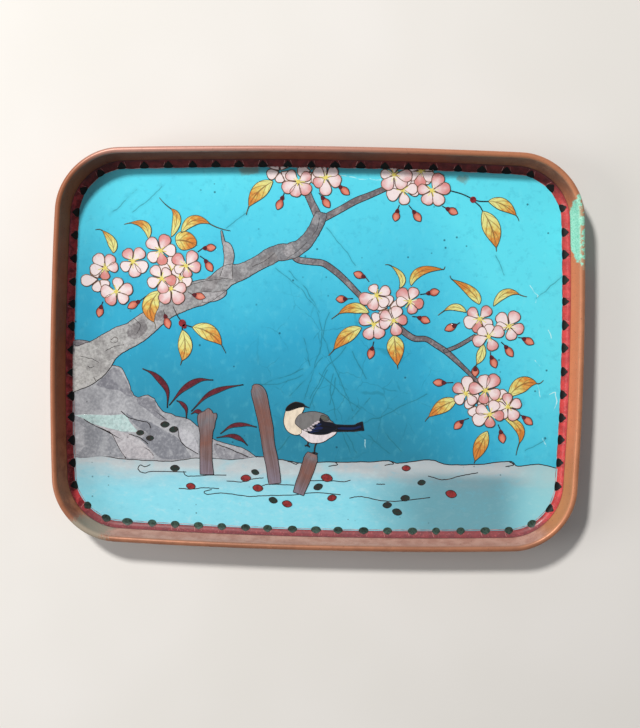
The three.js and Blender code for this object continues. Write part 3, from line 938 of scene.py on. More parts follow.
def makeWater():
    # The picture's outline below the waterline, from left to right at even steps of its length,
    # and over it as many points of the waterline. The field is the plate between the two.
    x, y = onTray(np.linspace(0.5, 1.0, 4000) + 0.08, fields["edgeInset"] - 0.35)
    line = curveThrough(fields["waterline"], 160)
    under = y < np.interp(x, line[:, 0], line[:, 1])
    edge = np.stack([x[under], y[under]], -1)
    edge = edge[np.argsort(edge[:, 0])]
    far = np.cumsum(np.linalg.norm(np.diff(edge, axis=0, prepend=edge[:1]), axis=1))
    pick = np.linspace(0, 1, 160)
    low = np.stack([np.interp(pick * far[-1], far, edge[:, axis]) for axis in range(2)], -1)
    topX = low[0, 0] + (low[-1, 0] - low[0, 0]) * pick
    top = np.stack([topX, np.interp(topX, line[:, 0], line[:, 1])], -1)
    points = plateBetween(low, top, 1, (0, 0, 0.02, 0.5, 0.98, 1, 1))
    Shell().add(points).build("waterField", waterFinish(), ["water_enamel"], "water_enamel")
    print("water made")


rocks = {
    "body": [
        (-66, -12.6), (-61.7, -11.2), (-58.5, -7.4), (-55.4, -5.7), (-53.0, -6.0), (-50.8, -9.4),
        (-48.8, -13.6),
        (-46.5, -13.4), (-43.8, -14.0), (-41.6, -17.4), (-38.0, -18.9), (-35.2, -19.3), (-31.1, -22.0),
        (-26.9, -25.1), (-22.0, -26.4), (-18.6, -27.6), (-15.6, -29.6),
    ],
    "facets": [  # outline, colour, layer
        ([(-59.3, -10.7), (-56.8, -8.1), (-55.4, -6.4), (-53.4, -6.6), (-51.6, -8.8), (-50.5, -11.5),
            (-49.4, -13.9), (-51.3, -13.4), (-53.5, -12.1), (-56.2, -11.9)], (128, 128, 136), 3),
        ([(-48.3, -14.3), (-45.9, -14.0), (-43.9, -14.6), (-42.5, -17.1), (-41.3, -19.1),
            (-40.0, -20.0), (-41.0, -20.2), (-43.1, -19.2), (-45.8, -17.1), (-47.7, -15.9)],
            (130, 130, 138), 3),
        ([(-65.2, -19.3), (-61.1, -19.0), (-56.4, -19.1), (-51.5, -18.8), (-50.1, -20.9),
            (-48.0, -23.3), (-50.9, -23.4), (-53.6, -23.1), (-56.8, -22.3), (-60.2, -21.4),
            (-63.2, -20.0)], (186, 214, 212), 4),
        ([(-65.4, -19.9), (-62.7, -20.6), (-60.2, -21.7), (-56.9, -23.0), (-54.7, -25.2),
            (-53.3, -27.3), (-51.7, -30.0), (-58.2, -30.2), (-65.4, -30.0)], (146, 148, 154), 5),
        ([(-60.2, -21.7), (-56.8, -22.4), (-53.4, -23.3), (-50.6, -24.0), (-47.3, -25.6),
            (-44.6, -28.0), (-43.4, -30.4), (-47.3, -30.5), (-51.5, -30.1), (-53.2, -27.3),
            (-54.9, -24.7), (-56.9, -22.9)], (186, 182, 186), 6),
        ([(-51.2, -18.3), (-48.5, -19.9), (-45.8, -20.1), (-43.6, -21.2), (-40.8, -22.7),
            (-37.0, -24.8), (-34.2, -28.5), (-33.6, -30.2), (-38.5, -30.6), (-41.8, -30.3),
            (-44.3, -28.0), (-47.1, -25.6), (-45.2, -23.9), (-47.4, -22.3), (-49.6, -20.7)],
            (130, 132, 140), 4),
        ([(-37.0, -22.1), (-34.9, -22.6), (-32.7, -24.2), (-31.5, -26.9), (-31.5, -29.0),
            (-33.7, -27.7), (-35.3, -26.4), (-36.5, -24.8)], (184, 184, 190), 5),
        ([(-27.2, -26.2), (-23.9, -27.2), (-20.6, -28.2), (-17.4, -29.5), (-20.1, -30.1),
            (-25.5, -30.0)], (142, 142, 149), 3),
    ],
    "lines": [
        [(-62.7, -20.2), (-61.0, -21.3), (-56.9, -23.1), (-55.5, -23.5), (-54.1, -25.7),
            (-52.7, -28.4), (-51.1, -30.6)],
        [(-52.6, -17.8), (-50.7, -19.4), (-48.0, -20.2), (-45.2, -20.8), (-44.4, -22.3)],
        [(-50.4, -24.0), (-47.3, -25.0), (-45.1, -26.6)],
        [(-37.0, -22.1), (-36.5, -24.8), (-35.3, -26.7), (-31.5, -29.0)],
        [(-26.6, -26.2), (-22.8, -27.5), (-17.9, -29.5)],
        [(-46.0, -27.6), (-44.7, -28.4), (-43.6, -29.7)],
    ],
}


def shiver(points, amount, seed):
    # Shakes a line by small steps that fade at its ends.
    shaken = np.random.default_rng(seed).normal(0, amount, points.shape)
    shaken = (shaken + np.roll(shaken, 1, 0) + np.roll(shaken, -1, 0)) / 2
    return points + shaken * np.sin(np.linspace(0, np.pi, len(points)))[:, None] ** 0.5


def makeRocks(line):
    # The body lies between the rocks' skyline and the waterline.
    top = shiver(curveThrough(rocks["body"], 90), 0.16, 3)
    top[:, 0] = np.maximum(top[:, 0], leftEdge(top[:, 1]))
    waterline = curveThrough(fields["waterline"], 400)
    foot = np.interp(top[:, 0], waterline[:, 0], waterline[:, 1]) + 0.02
    low = np.stack([top[:, 0], np.minimum(foot, top[:, 1] - 0.05)], -1)
    shell = Shell().add(plateBetween(low, top, 2), tint=rgb(166, 167, 172))
    for outline, colour, layer in rocks["facets"]:
        edge = shiver(curveThrough(outline, 48, closed=True), 0.07, layer + len(outline))
        shell.plates(edge[None], layer, rgb(*colour))
    finish = mottledFinish("rockEnamel", rgb(100, 102, 110), 0.36, rgb(208, 210, 213), 0.34, 0.8)
    shell.build("rockFacets", finish, ["rocks_enamel", "rocks_enamel_2"], "rock_enamel")
    line.append((top, 2.4, False))
    for path in rocks["lines"]:
        line.append((shiver(curveThrough(path, 30), 0.06, len(path)), 6.6, False))
    print("rocks made")


branch = {
    "trunk": [  # middle, width
        (-70.5, -7.4, 13.6), (-66.6, -6.4, 13.2), (-63.0, -5.6, 11.6), (-59.5, -3.4, 9.6),
        (-56.4, -0.6, 7.6), (-53.0, 1.6, 6.9),
        (-49.6, 3.2, 6.4), (-45.6, 6.2, 6.0), (-41.0, 9.8, 5.4), (-36.5, 12.6, 6.2), (-32.0, 14.4, 6.6),
        (-28.0, 16.0, 5.6), (-24.4, 19.2, 5.6), (-20.5, 20.4, 4.3), (-16.0, 22.8, 4.0), (-11.4, 25.4, 4.4),
        (-7.2, 26.2, 4.2), (-3.8, 28.2, 3.9), (-1.2, 31.8, 3.3), (0.4, 35.4, 3.2), (0.7, 36.6, 2.6),
    ],
    "twigs": [  # middle, width
        [(0.3, 34.6, 2.6), (-1.2, 37.6, 2.2), (-2.4, 40.0, 2.0), (-3.6, 42.8, 2.2)],
        [(-0.2, 34.0, 1.4), (2.4, 35.6, 1.9), (6.0, 37.6, 1.8), (9.8, 39.8, 1.9), (13.6, 41.4, 1.7),
            (18.0, 43.4, 1.5)],
        [(-7.2, 25.6, 1.6), (-5.4, 23.9, 1.8), (-2.0, 23.4, 1.9), (1.4, 23.0, 1.8), (4.6, 21.0, 1.8),
            (7.6, 18.4, 1.7), (10.8, 15.2, 1.6), (13.0, 13.0, 1.5)],
        [(21.5, 6.6, 1.7), (24.0, 4.6, 1.8), (26.4, 3.3, 1.7), (29.4, 3.2, 1.5), (32.2, 1.6, 1.6),
            (35.0, -0.2, 1.6), (38.2, -3.0, 1.3), (41.0, -5.6, 1.1), (43.5, -8.0, 1.0)],
        [(34.2, 0.0, 1.1), (36.4, 0.8, 1.1), (38.8, 2.0, 1.1), (42.6, 4.4, 1.0)],
        [(-24.6, 18.5, 3.6), (-24.2, 21.8, 2.4), (-23.9, 24.6, 2.7), (-24.5, 27.0, 2.3),
            (-25.4, 28.2, 0.9), (-25.8, 29.8, 0.6), (-26.1, 31.3, 0.3)],
        [(-31.0, 13.4, 3.0), (-27.6, 13.6, 2.4), (-25.4, 14.4, 1.6), (-24.6, 15.2, 0.6)],
    ],
    "twigsBehind": 5,  # the first of them leave from behind the trunk; the rest lie on it
    "foot": [  # the right side of the trunk's foot, from the bottom up
        (-65.0, -12.9), (-62.8, -11.5), (-61.2, -9.5), (-61.2, -2.3), (-62.4, 0.9),
    ],
    "root": [(-66.2, 0.9), (-61.8, 0.9), (-61.2, -0.6), (-61.2, -2.4), (-66.2, -2.3)],  # broken off
    "stems": [  # thin stalks, as wires
        [(35.0, 42.9), (38.3, 42.0), (41.1, 40.7)],
        [(41.1, 40.6), (43.0, 40.2), (45.3, 40.2)],
        [(41.6, 40.0), (42.9, 38.9), (43.7, 37.6)],
        [(-38.9, 10.8), (-37.6, 8.2), (-36.2, 6.3)],
        [(-36.0, 6.2), (-34.8, 5.6), (-33.4, 5.2)],
        [(-36.2, 6.2), (-36.3, 5.2), (-36.2, 4.2)],
    ],
    "knots": [(41.1, 40.6, 0.85), (-36.3, 6.3, 1.0), (-35.7, 5.4, 0.6)],
    "joints": [  # x, y, half its two widths, how far it is turned; darker ones, then paler ones
        (-48.4, 4.2, 2.0, 3.4, -52), (-29.0, 17.0, 1.7, 2.9, -38), (-13.2, 23.9, 1.8, 2.4, -62),
        (-42.4, 8.1, 1.2, 1.6, -40),
        (-7.8, 26.2, 1.7, 1.5, -20), (-35.4, 12.5, 1.8, 1.3, 30),
    ],
    "jointsDark": 4,
    "bark": [  # lines within the trunk, as wires
        [(-63.8, -3.2), (-61.8, -3.6), (-60.4, -3.9), (-58.8, -4.8)], [(-61.8, -5.8), (-61.0, -6.3),
            (-60.0, -5.7)],
        [(-60.1, -8.8), (-59.6, -9.8)], [(-55.6, 1.4), (-54.4, 2.2), (-53.6, 1.4), (-54.6, 0.6),
            (-55.8, 0.9)],
        [(-49.4, 7.4), (-47.6, 5.4), (-48.6, 3.2)], [(-34.4, 16.6), (-30.3, 17.7), (-25.6, 18.4)],
        [(-57.0, -1.6), (-54.6, -0.4), (-52.0, 0.2)], [(-17.6, 21.8), (-14.2, 23.4), (-11.6, 25.6)],
        [(-8.2, 24.2), (-5.2, 26.4), (-3.0, 28.6)], [(-1.6, 30.2), (-0.2, 32.6), (0.2, 35.2)],
    ],
}


def widePath(stops, count):
    # A path whose stops hold x, y and a width: the three run through the same smooth curve.
    whole = curveThrough(stops, count)
    return whole[None, :, :2], np.abs(whole[None, :, 2])


def rippled(widths, amount, seed, span, part):
    # The widths of one path with an uneven ripple: random steps, of which each point takes the sum
    # of a span of them over part.
    ripple = np.random.default_rng(seed).normal(0, amount, widths.shape)
    return widths + np.convolve(ripple[0], np.ones(span) / part, "same")[None]


def between(first, second, share):
    # The colour this share of the way from the first to the second.
    return np.array(first) * (1 - share) + np.array(second) * share


def makeBranch(line):
    shell = Shell()
    paths, widths = widePath(branch["trunk"], 420)
    widths = rippled(widths, 0.16, 5, 11, 4)
    # Paler towards the root, greyer along the branch.
    pale, grey = rgb(202, 201, 197), rgb(120, 116, 122)
    share = np.linspace(0, 1, 420)[None, :, None, None] ** 0.8
    shell.bars(paths, widths, 7.5, between(pale, rgb(106, 108, 116), share))
    line.append((rimOf(paths, widths)[0], 7.9, True))
    for path in branch["bark"]:
        line.append((shiver(curveThrough(path, 30), 0.05, len(path)), 7.9, False))
    for i, twig in enumerate(branch["twigs"]):
        paths, widths = widePath(twig, 60)
        behind = i < branch["twigsBehind"]
        widths = widths * (0.88 if behind else 1)
        tint = rgb(112, 104, 108) if behind else rgb(172, 170, 172)
        shell.bars(paths, widths, 7.0 - 0.2 * i if behind else 7.7, tint)
        line.append((rimOf(paths, widths)[0], 7.3 if behind else 7.8, True))
    for i, (x, y, wide, high, turned) in enumerate(branch["joints"]):
        oval = ovals(np.array([x, y]), wide, high, 28, np.radians(turned))
        tint = rgb(130, 127, 128) if i < branch["jointsDark"] else rgb(162, 160, 163)
        shell.plates(shiver(oval, 0.26, i)[None], 7.6, tint)
    # The foot of the trunk runs on to the left border, grey above and pale below.
    footX, footY = np.array(branch["foot"]).T
    y = np.linspace(footY[-1], footY[0], 60)
    left = np.stack([leftEdge(y), y], -1)
    right = np.stack([np.interp(y, footY, footX), y], -1)
    share = np.clip((-1.6 - y) / 1.4, 0, 1)[None, :, None, None]
    shell.add(plateBetween(left, right, 7.3), tint=between(grey, pale, share))
    root = curveThrough(branch["root"], 40, closed=True)
    shell.plates(root[None], 7.2, grey)
    line.append((root, 7.4, True))
    finish = mottledFinish("barkEnamel", rgb(92, 86, 90), 0.45, rgb(206, 204, 206), 0.36, 0.7)
    shell.build("branchAndTwigs", finish, ["branch_enamel", "lower_twig_enamel"], "branch_enamel")
    print("branch made")


blossoms = {
    "all": [  # x, y, how far to the front; then each petal's direction, length and blush
        (-57.4, 20.8, 2, (128, 4.6, 0.35), (60, 4.2, 0.55), (5, 3.8, 0.5), (190, 4.4, 0.2),
            (270, 3.3, 0.95)),
        (-49.9, 22.7, 1, (125, 4.0, 0.75), (50, 4.3, 0.5), (330, 4.5, 0.1), (282, 4.6, 0.5),
            (215, 3.9, 0.1)),
        (-42.5, 25.7, 4, (140, 4.7, 0.45), (68, 4.7, 0.8), (2, 4.3, 0.15), (221, 4.3, 0.1),
            (282, 4.1, 0.95)),
        (-35.5, 21.7, 3, (142, 4.4, 0.8), (58, 4.7, 0.6), (354, 4.2, 0.65), (280, 3.3, 0.7),
            (206, 3.4, 0.1)),
        (-54.3, 14.5, 4, (81, 3.9, 0.35), (12, 4.8, 0.5), (315, 4.2, 0.4), (238, 4.4, 0.75),
            (180, 4.4, 0.4)),
        (-42.0, 18.2, 6, (130, 4.3, 0.4), (53, 3.4, 0.4), (350, 4.1, 0.95), (279, 4.2, 0.6),
            (204, 4.4, 0.25)),
        (-39.4, 15.5, 5, (6, 4.2, 0.5), (308, 5.1, 0.65), (236, 5.0, 0.6), (130, 3.6, 0.2), (70, 3.6, 0.2)),
        (-59.0, 17.7, 0, (186, 5.2, 0.15), (255, 3.6, 0.1), (120, 3.6, 0.2), (60, 3.6, 0.2),
            (320, 3.4, 0.2)),
        (-39.2, 20.3, 1, (20, 4.0, 0.1), (92, 4.2, 0.1), (160, 4.0, 0.15), (236, 3.8, 0.1),
            (305, 3.8, 0.1)),
        (-37.0, 18.4, 2, (50, 3.2, 0.15), (122, 3.2, 0.1), (190, 3.2, 0.2), (262, 3.2, 0.1),
            (335, 3.4, 0.15)),
        (-5.7, 44.7, 3, (209, 5.0, 0.5), (257, 4.3, 0.6), (316, 4.6, 0.7), (33, 4.0, 0.6),
            (140, 4.2, 0.45)),
        (1.7, 45.9, 2, (270, 4.9, 0.45), (342, 4.5, 0.5), (213, 4.0, 0.7), (145, 4.0, 0.2), (40, 4.0, 0.3)),
        (-2.1, 47.6, 0, (240, 4.0, 0.1), (300, 4.0, 0.1), (180, 4.0, 0.1), (0, 4.0, 0.1), (90, 4.0, 0.1)),
        (-10.6, 47.4, 0, (200, 3.8, 0.1), (270, 3.2, 0.1), (330, 3.8, 0.2), (130, 4.0, 0.1),
            (60, 4.0, 0.1)),
        (19.9, 46.9, 5, (311, 4.7, 0.45), (237, 4.8, 0.55), (177, 3.6, 0.1), (356, 5.2, 0.55),
            (90, 4.0, 0.2)),
        (22.3, 42.9, 2, (280, 3.9, 0.35), (205, 4.8, 0.25), (7, 4.2, 0.3), (70, 4.0, 0.2), (140, 4.0, 0.2)),
        (30.1, 42.9, 4, (9, 5.1, 0.8), (62, 5.2, 0.75), (175, 4.1, 0.6), (244, 4.3, 0.5), (306, 4.6, 0.45)),
        (27.0, 47.9, 1, (268, 4.2, 0.9), (208, 4.2, 0.3), (330, 4.2, 0.3), (150, 4.0, 0.2), (30, 4.0, 0.2)),
        (26.3, 44.6, 0, (100, 3.8, 0.1), (172, 3.6, 0.1), (244, 3.6, 0.1), (316, 3.6, 0.1), (28, 3.8, 0.1)),
        (15.9, 14.7, 2, (116, 3.2, 0.35), (27, 4.1, 0.4), (317, 4.1, 0.2), (251, 4.3, 0.6),
            (198, 5.1, 0.6)),
        (24.9, 13.2, 2, (137, 4.5, 0.8), (71, 4.1, 0.55), (347, 3.8, 1.0), (286, 3.6, 0.7),
            (182, 3.9, 0.2)),
        (20.6, 8.0, 5, (73, 4.2, 0.4), (5, 4.0, 0.9), (286, 4.2, 0.7), (199, 4.1, 0.5), (152, 4.2, 0.6)),
        (15.3, 6.8, 3, (152, 4.3, 0.6), (242, 4.4, 0.6), (303, 4.2, 0.6), (74, 3.6, 0.15), (5, 3.6, 0.3)),
        (19.2, 11.4, 0, (20, 3.6, 0.1), (92, 3.4, 0.1), (164, 3.6, 0.1), (236, 3.6, 0.1), (308, 3.6, 0.1)),
        (43.6, 8.9, 3, (140, 4.3, 0.65), (50, 4.2, 0.7), (329, 3.9, 0.2), (258, 4.0, 0.95),
            (199, 4.6, 0.15)),
        (46.1, 4.2, 4, (28, 4.5, 0.5), (88, 3.6, 0.2), (293, 4.1, 0.7), (203, 4.8, 0.5), (145, 3.6, 0.2)),
        (51.5, 7.1, 2, (136, 4.6, 0.35), (64, 4.5, 0.55), (345, 4.1, 0.65), (283, 4.0, 0.5),
            (187, 3.7, 0.2)),
        (40.4, -11.2, 2, (85, 4.9, 0.3), (147, 4.2, 0.75), (222, 3.9, 0.25), (312, 3.7, 0.4),
            (25, 3.6, 0.6)),
        (45.6, -10.2, 4, (100, 4.3, 0.4), (53, 5.3, 0.75), (338, 4.3, 0.5), (259, 3.9, 0.85),
            (171, 4.8, 0.7)),
        (46.9, -16.6, 6, (66, 4.1, 0.3), (353, 3.9, 0.9), (270, 3.8, 0.9), (206, 5.3, 0.2),
            (154, 4.2, 0.4)),
        (51.6, -14.5, 5, (94, 3.7, 0.7), (21, 4.1, 0.5), (305, 4.3, 0.55), (180, 3.2, 0.2),
            (240, 3.6, 0.3)),
        (43.2, -14.2, 0, (30, 3.4, 0.1), (102, 3.4, 0.1), (174, 3.2, 0.1), (246, 3.4, 0.1),
            (318, 3.4, 0.1)),
        (49.0, -12.6, 1, (50, 3.2, 0.1), (122, 3.4, 0.1), (194, 3.4, 0.1), (266, 3.4, 0.1),
            (338, 3.2, 0.1)),
    ],
    "petalShare": 0.72,  # a petal's width as a share of its length
    "rim": 24,  # points round a petal
    "start": 0.4,  # how far from the heart's middle it starts
    "notch": 0.075,  # of its length, at the tip
    "notchSpread": 0.42,
    "rays": 7,
    "rayLength": 1.7,
    "heart": 0.5,
}


def makeBlossoms():
    middles = np.array([row[:3] for row in blossoms["all"]], dtype=float)
    petals = np.array([row[3:] for row in blossoms["all"]], dtype=float)
    count = len(middles)
    turn = np.radians(petals[..., 0])
    length = petals[..., 1] * (1 + chance.normal(0, 0.02, turn.shape))
    width = blossoms["petalShare"] * np.clip(length, 3.6, 4.6)
    width = width * (1 + chance.normal(0, 0.04, turn.shape))
    # A petal's outline, walked once round. The share t of the way from heart to tip is half of one
    # plus the cosine. Its width is a sine that opens late, so it is narrow at the heart and round
    # at the tip, and a small bell curve takes a notch out of the tip.
    around = np.linspace(-np.pi, np.pi, blossoms["rim"], endpoint=False)
    t = (1 + np.cos(around)) / 2
    notch = blossoms["notch"] * np.exp(-((around / blossoms["notchSpread"]) ** 2))
    along = blossoms["start"] + (length[..., None] - blossoms["start"]) * (t - notch)
    across = width[..., None] / 2 * np.sign(np.sin(around)) * np.sin(np.pi * t**1.5) ** 0.66
    heading = np.stack([np.cos(turn), np.sin(turn)], -1)[:, :, None]
    side = np.stack([-np.sin(turn), np.cos(turn)], -1)[:, :, None]
    outlines = middles[:, None, None, :2] + heading * along[..., None] + side * across[..., None]
    outlines = outlines.reshape(-1, len(t), 2)
    front = 9 + 1.3 * middles[:, 2]
    layer = np.repeat(front, 5) + np.tile([0, 0.15, 0.3, 0.45, 0.6], count)
    tint = np.concatenate([np.ones((count * 5, 3)), petals[..., 2].reshape(-1, 1)], 1)
    flat, _ = patches(outlines, layer)
    # Where each point lies in its petal: u grows from heart to tip and v runs across.
    away = flat[..., :2] - np.repeat(middles[:, :2], 5, 0)[:, None, None]
    u = (away * heading.reshape(-1, 1, 1, 2)).sum(-1) / length.reshape(-1, 1, 1)
    v = (away * side.reshape(-1, 1, 1, 2)).sum(-1) / width.reshape(-1, 1, 1) + 0.5
    uv = np.stack([np.arccos(np.clip(1 - 2 * u, -1, 1)) / np.pi, v], -1)
    nodes = [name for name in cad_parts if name.startswith("blossoms_")]
    Shell().add(flat, uv=uv, tint=tint).build("petals", petalFinish(), nodes, "blossom_enamel")
    rims = Shell().add(wires(outlines, layer + 0.12, True, 0.16), meets=True)
    rims.build("petalWires", wireFinish("petalWire"), slot="blossom_enamel", smooth=True)

    # A small yellow heart and pale stamens that reach out over the petals.
    rays = blossoms["rays"]
    angle = chance.uniform(0, 2 * np.pi, count)[:, None] + np.arange(rays) * 2 * np.pi / rays
    angle = angle + chance.normal(0, 0.14, angle.shape)
    reach = blossoms["rayLength"] * chance.uniform(0.6, 1.2, angle.shape)
    out = reach[..., None] * np.linspace(0, 1, 6)
    out = np.stack([np.cos(angle), np.sin(angle)], -1)[:, :, None] * out[..., None]
    paths = (middles[:, None, None, :2] + out).reshape(-1, 6, 2)
    thick = np.broadcast_to([0.5, 0.4, 0.32, 0.26, 0.26, 0.2], (len(paths), 6))
    pale = np.array([rgb(240, 234, 150), rgb(228, 214, 112), rgb(246, 242, 196)])
    tint = pale[chance.integers(0, len(pale), len(paths))]
    # Those of the blossoms at the back are hidden.
    shown = middles[:, 2] > 0
    keep = np.repeat(shown, rays)
    layer = np.repeat(front, rays) + 0.85
    shell = Shell().bars(paths[keep], thick[keep], layer[keep], tint[keep])
    hearts = ovals(middles[shown, :2], blossoms["heart"], blossoms["heart"], 12)
    shell.plates(hearts, front[shown] + 0.95, rgb(236, 220, 112))
    finish = tintFinish("stamenEnamel", 0.5, rgb(168, 140, 60), 0.35)
    shell.build("stamens", finish, slot="blossom_enamel")
    print("blossoms made:", count)


leaves = {
    "all": [  # stalk, bend, tip, end of the tail, width, how ripe
        ((-55.3, 24.9), (-55.7, 27.8), (-58.3, 30.8), (-60.2, 31.0), 2.4, 0.3),
        ((-45.8, 28.9), (-46.8, 32.3), (-50.7, 33.0), (-52.4, 32.6), 2.2, 0.6),
        ((-39.6, 29.5), (-38.2, 34.2), (-39.7, 36.9), (-43.0, 39.9), 2.2, 0.5),
        ((-36.8, 30.5), (-33.7, 33.9), (-29.3, 33.1), (-23.7, 31.3), 2.7, 0.65),
        ((-42.6, 14.8), (-45.0, 10.6), (-43.9, 6.4), (-43.6, 4.6), 4.5, 0.6),
        ((-36.2, 4.4), (-35.4, -0.2), (-36.2, -3.8), (-36.6, -5.1), 3.8, 0.45),
        ((-33.5, 5.2), (-28.9, 3.8), (-25.6, 0.6), (-24.4, -1.6), 4.2, 0.55),
        ((-12.5, 44.7), (-16.2, 41.9), (-18.8, 37.9), (-19.5, 35.6), 4.0, 0.55),
        ((45.2, 40.2), (49.2, 39.3), (52.6, 36.6), (53.4, 35.1), 3.2, 0.5),
        ((43.7, 37.5), (46.3, 32.9), (47.5, 28.0), (47.6, 26.9), 4.6, 0.5),
        ((22.0, 16.8), (22.6, 19.6), (19.7, 22.6), (18.0, 22.9), 1.6, 0.3),
        ((25.1, 17.5), (27.4, 21.2), (33.4, 21.9), (34.0, 22.7), 2.3, 0.75),
        ((43.3, 12.8), (41.3, 15.9), (36.1, 19.2), (35.4, 20.3), 2.7, 0.55),
        ((47.2, 12.4), (50.2, 15.8), (53.9, 15.6), (56.0, 15.0), 2.2, 0.4),
        ((39.9, 10.6), (37.1, 11.9), (34.1, 10.9), (32.4, 9.6), 1.8, 0.25),
        ((13.9, 10.0), (9.9, 11.2), (5.9, 9.6), (3.9, 8.1), 2.7, 0.55),
        ((12.0, 5.9), (8.0, 3.6), (4.8, 0.0), (3.3, -1.7), 3.6, 0.6),
        ((20.7, 4.0), (21.3, 0.5), (21.9, -4.0), (22.0, -5.0), 4.5, 0.58),
        ((44.7, 2.1), (44.1, -0.9), (43.1, -3.2), (42.7, -4.2), 2.3, 0.1),
        ((51.8, -11.8), (55.4, -8.4), (59.1, -8.1), (60.9, -7.2), 4.0, 0.62),
        ((37.8, -13.0), (34.2, -14.7), (30.6, -17.6), (29.6, -18.9), 3.6, 0.58),
        ((46.3, -21.2), (44.5, -25.3), (43.2, -29.2), (42.9, -29.9), 3.6, 0.75),
        ((50.8, -17.6), (54.8, -20.2), (54.9, -24.2), (54.1, -27.5), 2.4, 0.7),
        ((-38.4, 28.4), (-35.8, 28.4), (-32.9, 27.4), (-32.6, 27.2), 5.0, 0.65),
    ],
    "folded": 4.8,  # a leaf wider than this is a folded one, which is round
    "layer": 8.4,
}


def makeLeaves():
    rows = leaves["all"]
    stalk, mid, tip, tail = (np.array([row[i] for row in rows]) for i in range(4))
    t = eased(26)
    # A leaf's spine: the parabola through its stalk, its bend and its tip.
    paths = parabola(stalk, 2 * mid - (stalk + tip) / 2, tip, t)
    # Its width: a sine, fullest nearer the stalk, that narrows to a point at the tip.
    wide = np.array([row[4] for row in rows])[:, None]
    widths = wide * np.sin(np.pi * t[None] ** 0.85) ** np.where(wide > leaves["folded"], 0.5, 0.9)
    layer = leaves["layer"] + 0.15 * np.arange(len(rows)) % 0.6
    tint = np.ones((len(rows), 4))
    tint[:, 3] = [row[5] for row in rows]
    Shell().bars(paths, widths, layer, tint).build("leaves", leafFinish(), slot="branch_enamel")
    shell = Shell().add(wires(rimOf(paths, widths), layer + 0.3, True), meets=True)
    # The tail runs on from the tip and thins out.
    ahead = unit(paths[:, -1] - paths[:, -4])
    length = np.linalg.norm(tail - tip, axis=-1, keepdims=True)
    tails = parabola(tip, tip + ahead * length * 0.5, tail, np.linspace(0, 1, 8))
    shell.add(wires(tails, layer + 0.5, False, taper=np.linspace(1.35, 0.7, 8)))
    shell.build("leafWires", wireFinish("leafWire"), slot="branch_enamel", smooth=True)
    print("leaves made:", len(rows))


buds = {
    "all": [  # middle of the bud, its cup, where the stalk starts
        ((-28.9, 26.7), (-30.9, 26.5), (-32.4, 25.5)), ((-29.2, 21.6), (-30.4, 23.4), (-31.8, 24.4)),
        ((-31.7, 13.6), (-33.5, 14.0), (-34.8, 14.7)), ((-49.8, 10.9), (-48.0, 12.0), (-46.3, 13.3)),
        ((-58.7, 8.9), (-58.3, 10.6), (-57.9, 11.7)), ((-40.3, 6.2), (-41.0, 8.4), (-41.5, 9.8)),
        ((-10.6, 38.5), (-9.7, 40.7), (-9.4, 41.6)), ((2.0, 39.1), (0.7, 40.8), (-0.1, 41.8)),
        ((6.9, 42.4), (5.3, 43.7), (4.4, 44.4)), ((20.7, 35.8), (21.1, 37.7), (21.5, 38.9)),
        ((26.4, 35.8), (25.2, 37.4), (24.0, 38.9)), ((35.8, 37.4), (34.0, 38.2), (32.9, 38.8)),
        ((11.0, 20.1), (12.7, 19.5), (13.8, 18.3)), ((6.4, 13.5), (7.9, 13.6), (9.6, 13.7)),
        ((31.3, 15.8), (29.3, 15.4), (27.5, 15.1)), ((29.0, 8.3), (27.1, 9.0), (25.5, 9.2)),
        ((14.7, -0.9), (15.1, 0.8), (15.4, 2.3)), ((35.8, 6.4), (37.2, 7.1), (38.3, 7.8)),
        ((56.8, 3.1), (55.1, 3.9), (53.9, 4.1)), ((51.7, 0.2), (50.5, 1.8), (49.4, 2.8)),
        ((47.6, -2.8), (46.8, -1.0), (46.6, 0.1)), ((42.7, -5.3), (42.7, -4.2), (42.6, -3.7)),
        ((33.0, -8.4), (34.8, -8.4), (36.9, -8.3)), ((38.5, -19.7), (39.7, -18.5), (41.3, -17.8)),
        ((50.3, -22.9), (49.8, -20.9), (49.1, -19.3)), ((57.1, -18.2), (55.6, -17.0), (54.5, -16.3)),
    ],
    "length": 3.3,
    "width": 1.95,
    "layer": 8.2,
}


def makeBuds():
    middle, cup, stalk = (np.array([row[i] for row in buds["all"]]) for i in range(3))
    count, layer = len(middle), buds["layer"]
    heading = unit(middle - cup)
    t = eased(17)
    length = buds["length"] * (1 + chance.normal(0, 0.06, count))[:, None, None]
    paths = middle[:, None] + heading[:, None] * (t[None, :, None] - 0.55) * length
    # A drop: round at the tip and narrower at the cup.
    widths = buds["width"] * np.ones((count, 1)) * np.sin(np.pi * t[None] ** 1.12) ** 0.8
    Shell().bars(paths, widths, layer).build("buds", budFinish(), slot="blossom_enamel")
    shell = Shell().add(wires(rimOf(paths, widths), layer + 0.4, True), meets=True)
    # The dark cup that holds the bud, and its stalk.
    start = cup - heading * 0.25
    cupPaths = start[:, None] + heading[:, None] * np.linspace(0, 1, 7)[None, :, None] * 1.25
    cupWidths = np.broadcast_to([0.35, 0.7, 0.95, 1.15, 1.25, 1.1, 0.6], (count, 7))
    cups = Shell().bars(cupPaths, cupWidths, layer + 0.6, rgb(96, 34, 40))
    for x, y, radius in branch["knots"]:
        knot = ovals(np.array([[x, y]]), radius, radius, 20)
        cups.plates(knot, layer + 0.4, rgb(146, 44, 50))
    finish = tintFinish("maroonEnamel", 0.7, rgb(52, 20, 26), 0.6)
    cups.build("budCups", finish, slot="blossom_enamel")
    run = start[:, None] + (stalk - start)[:, None] * np.linspace(0, 1, 6)[None, :, None]
    shell.add(wires(run, layer + 0.3, False, 0.13))
    for path in branch["stems"]:
        shell.add(wires(curveThrough(path, 12)[None], layer + 0.3, False, 0.15))
    shell.build("budWires", wireFinish("brassWire"), slot="blossom_enamel", smooth=True)
    print("buds made:", count)


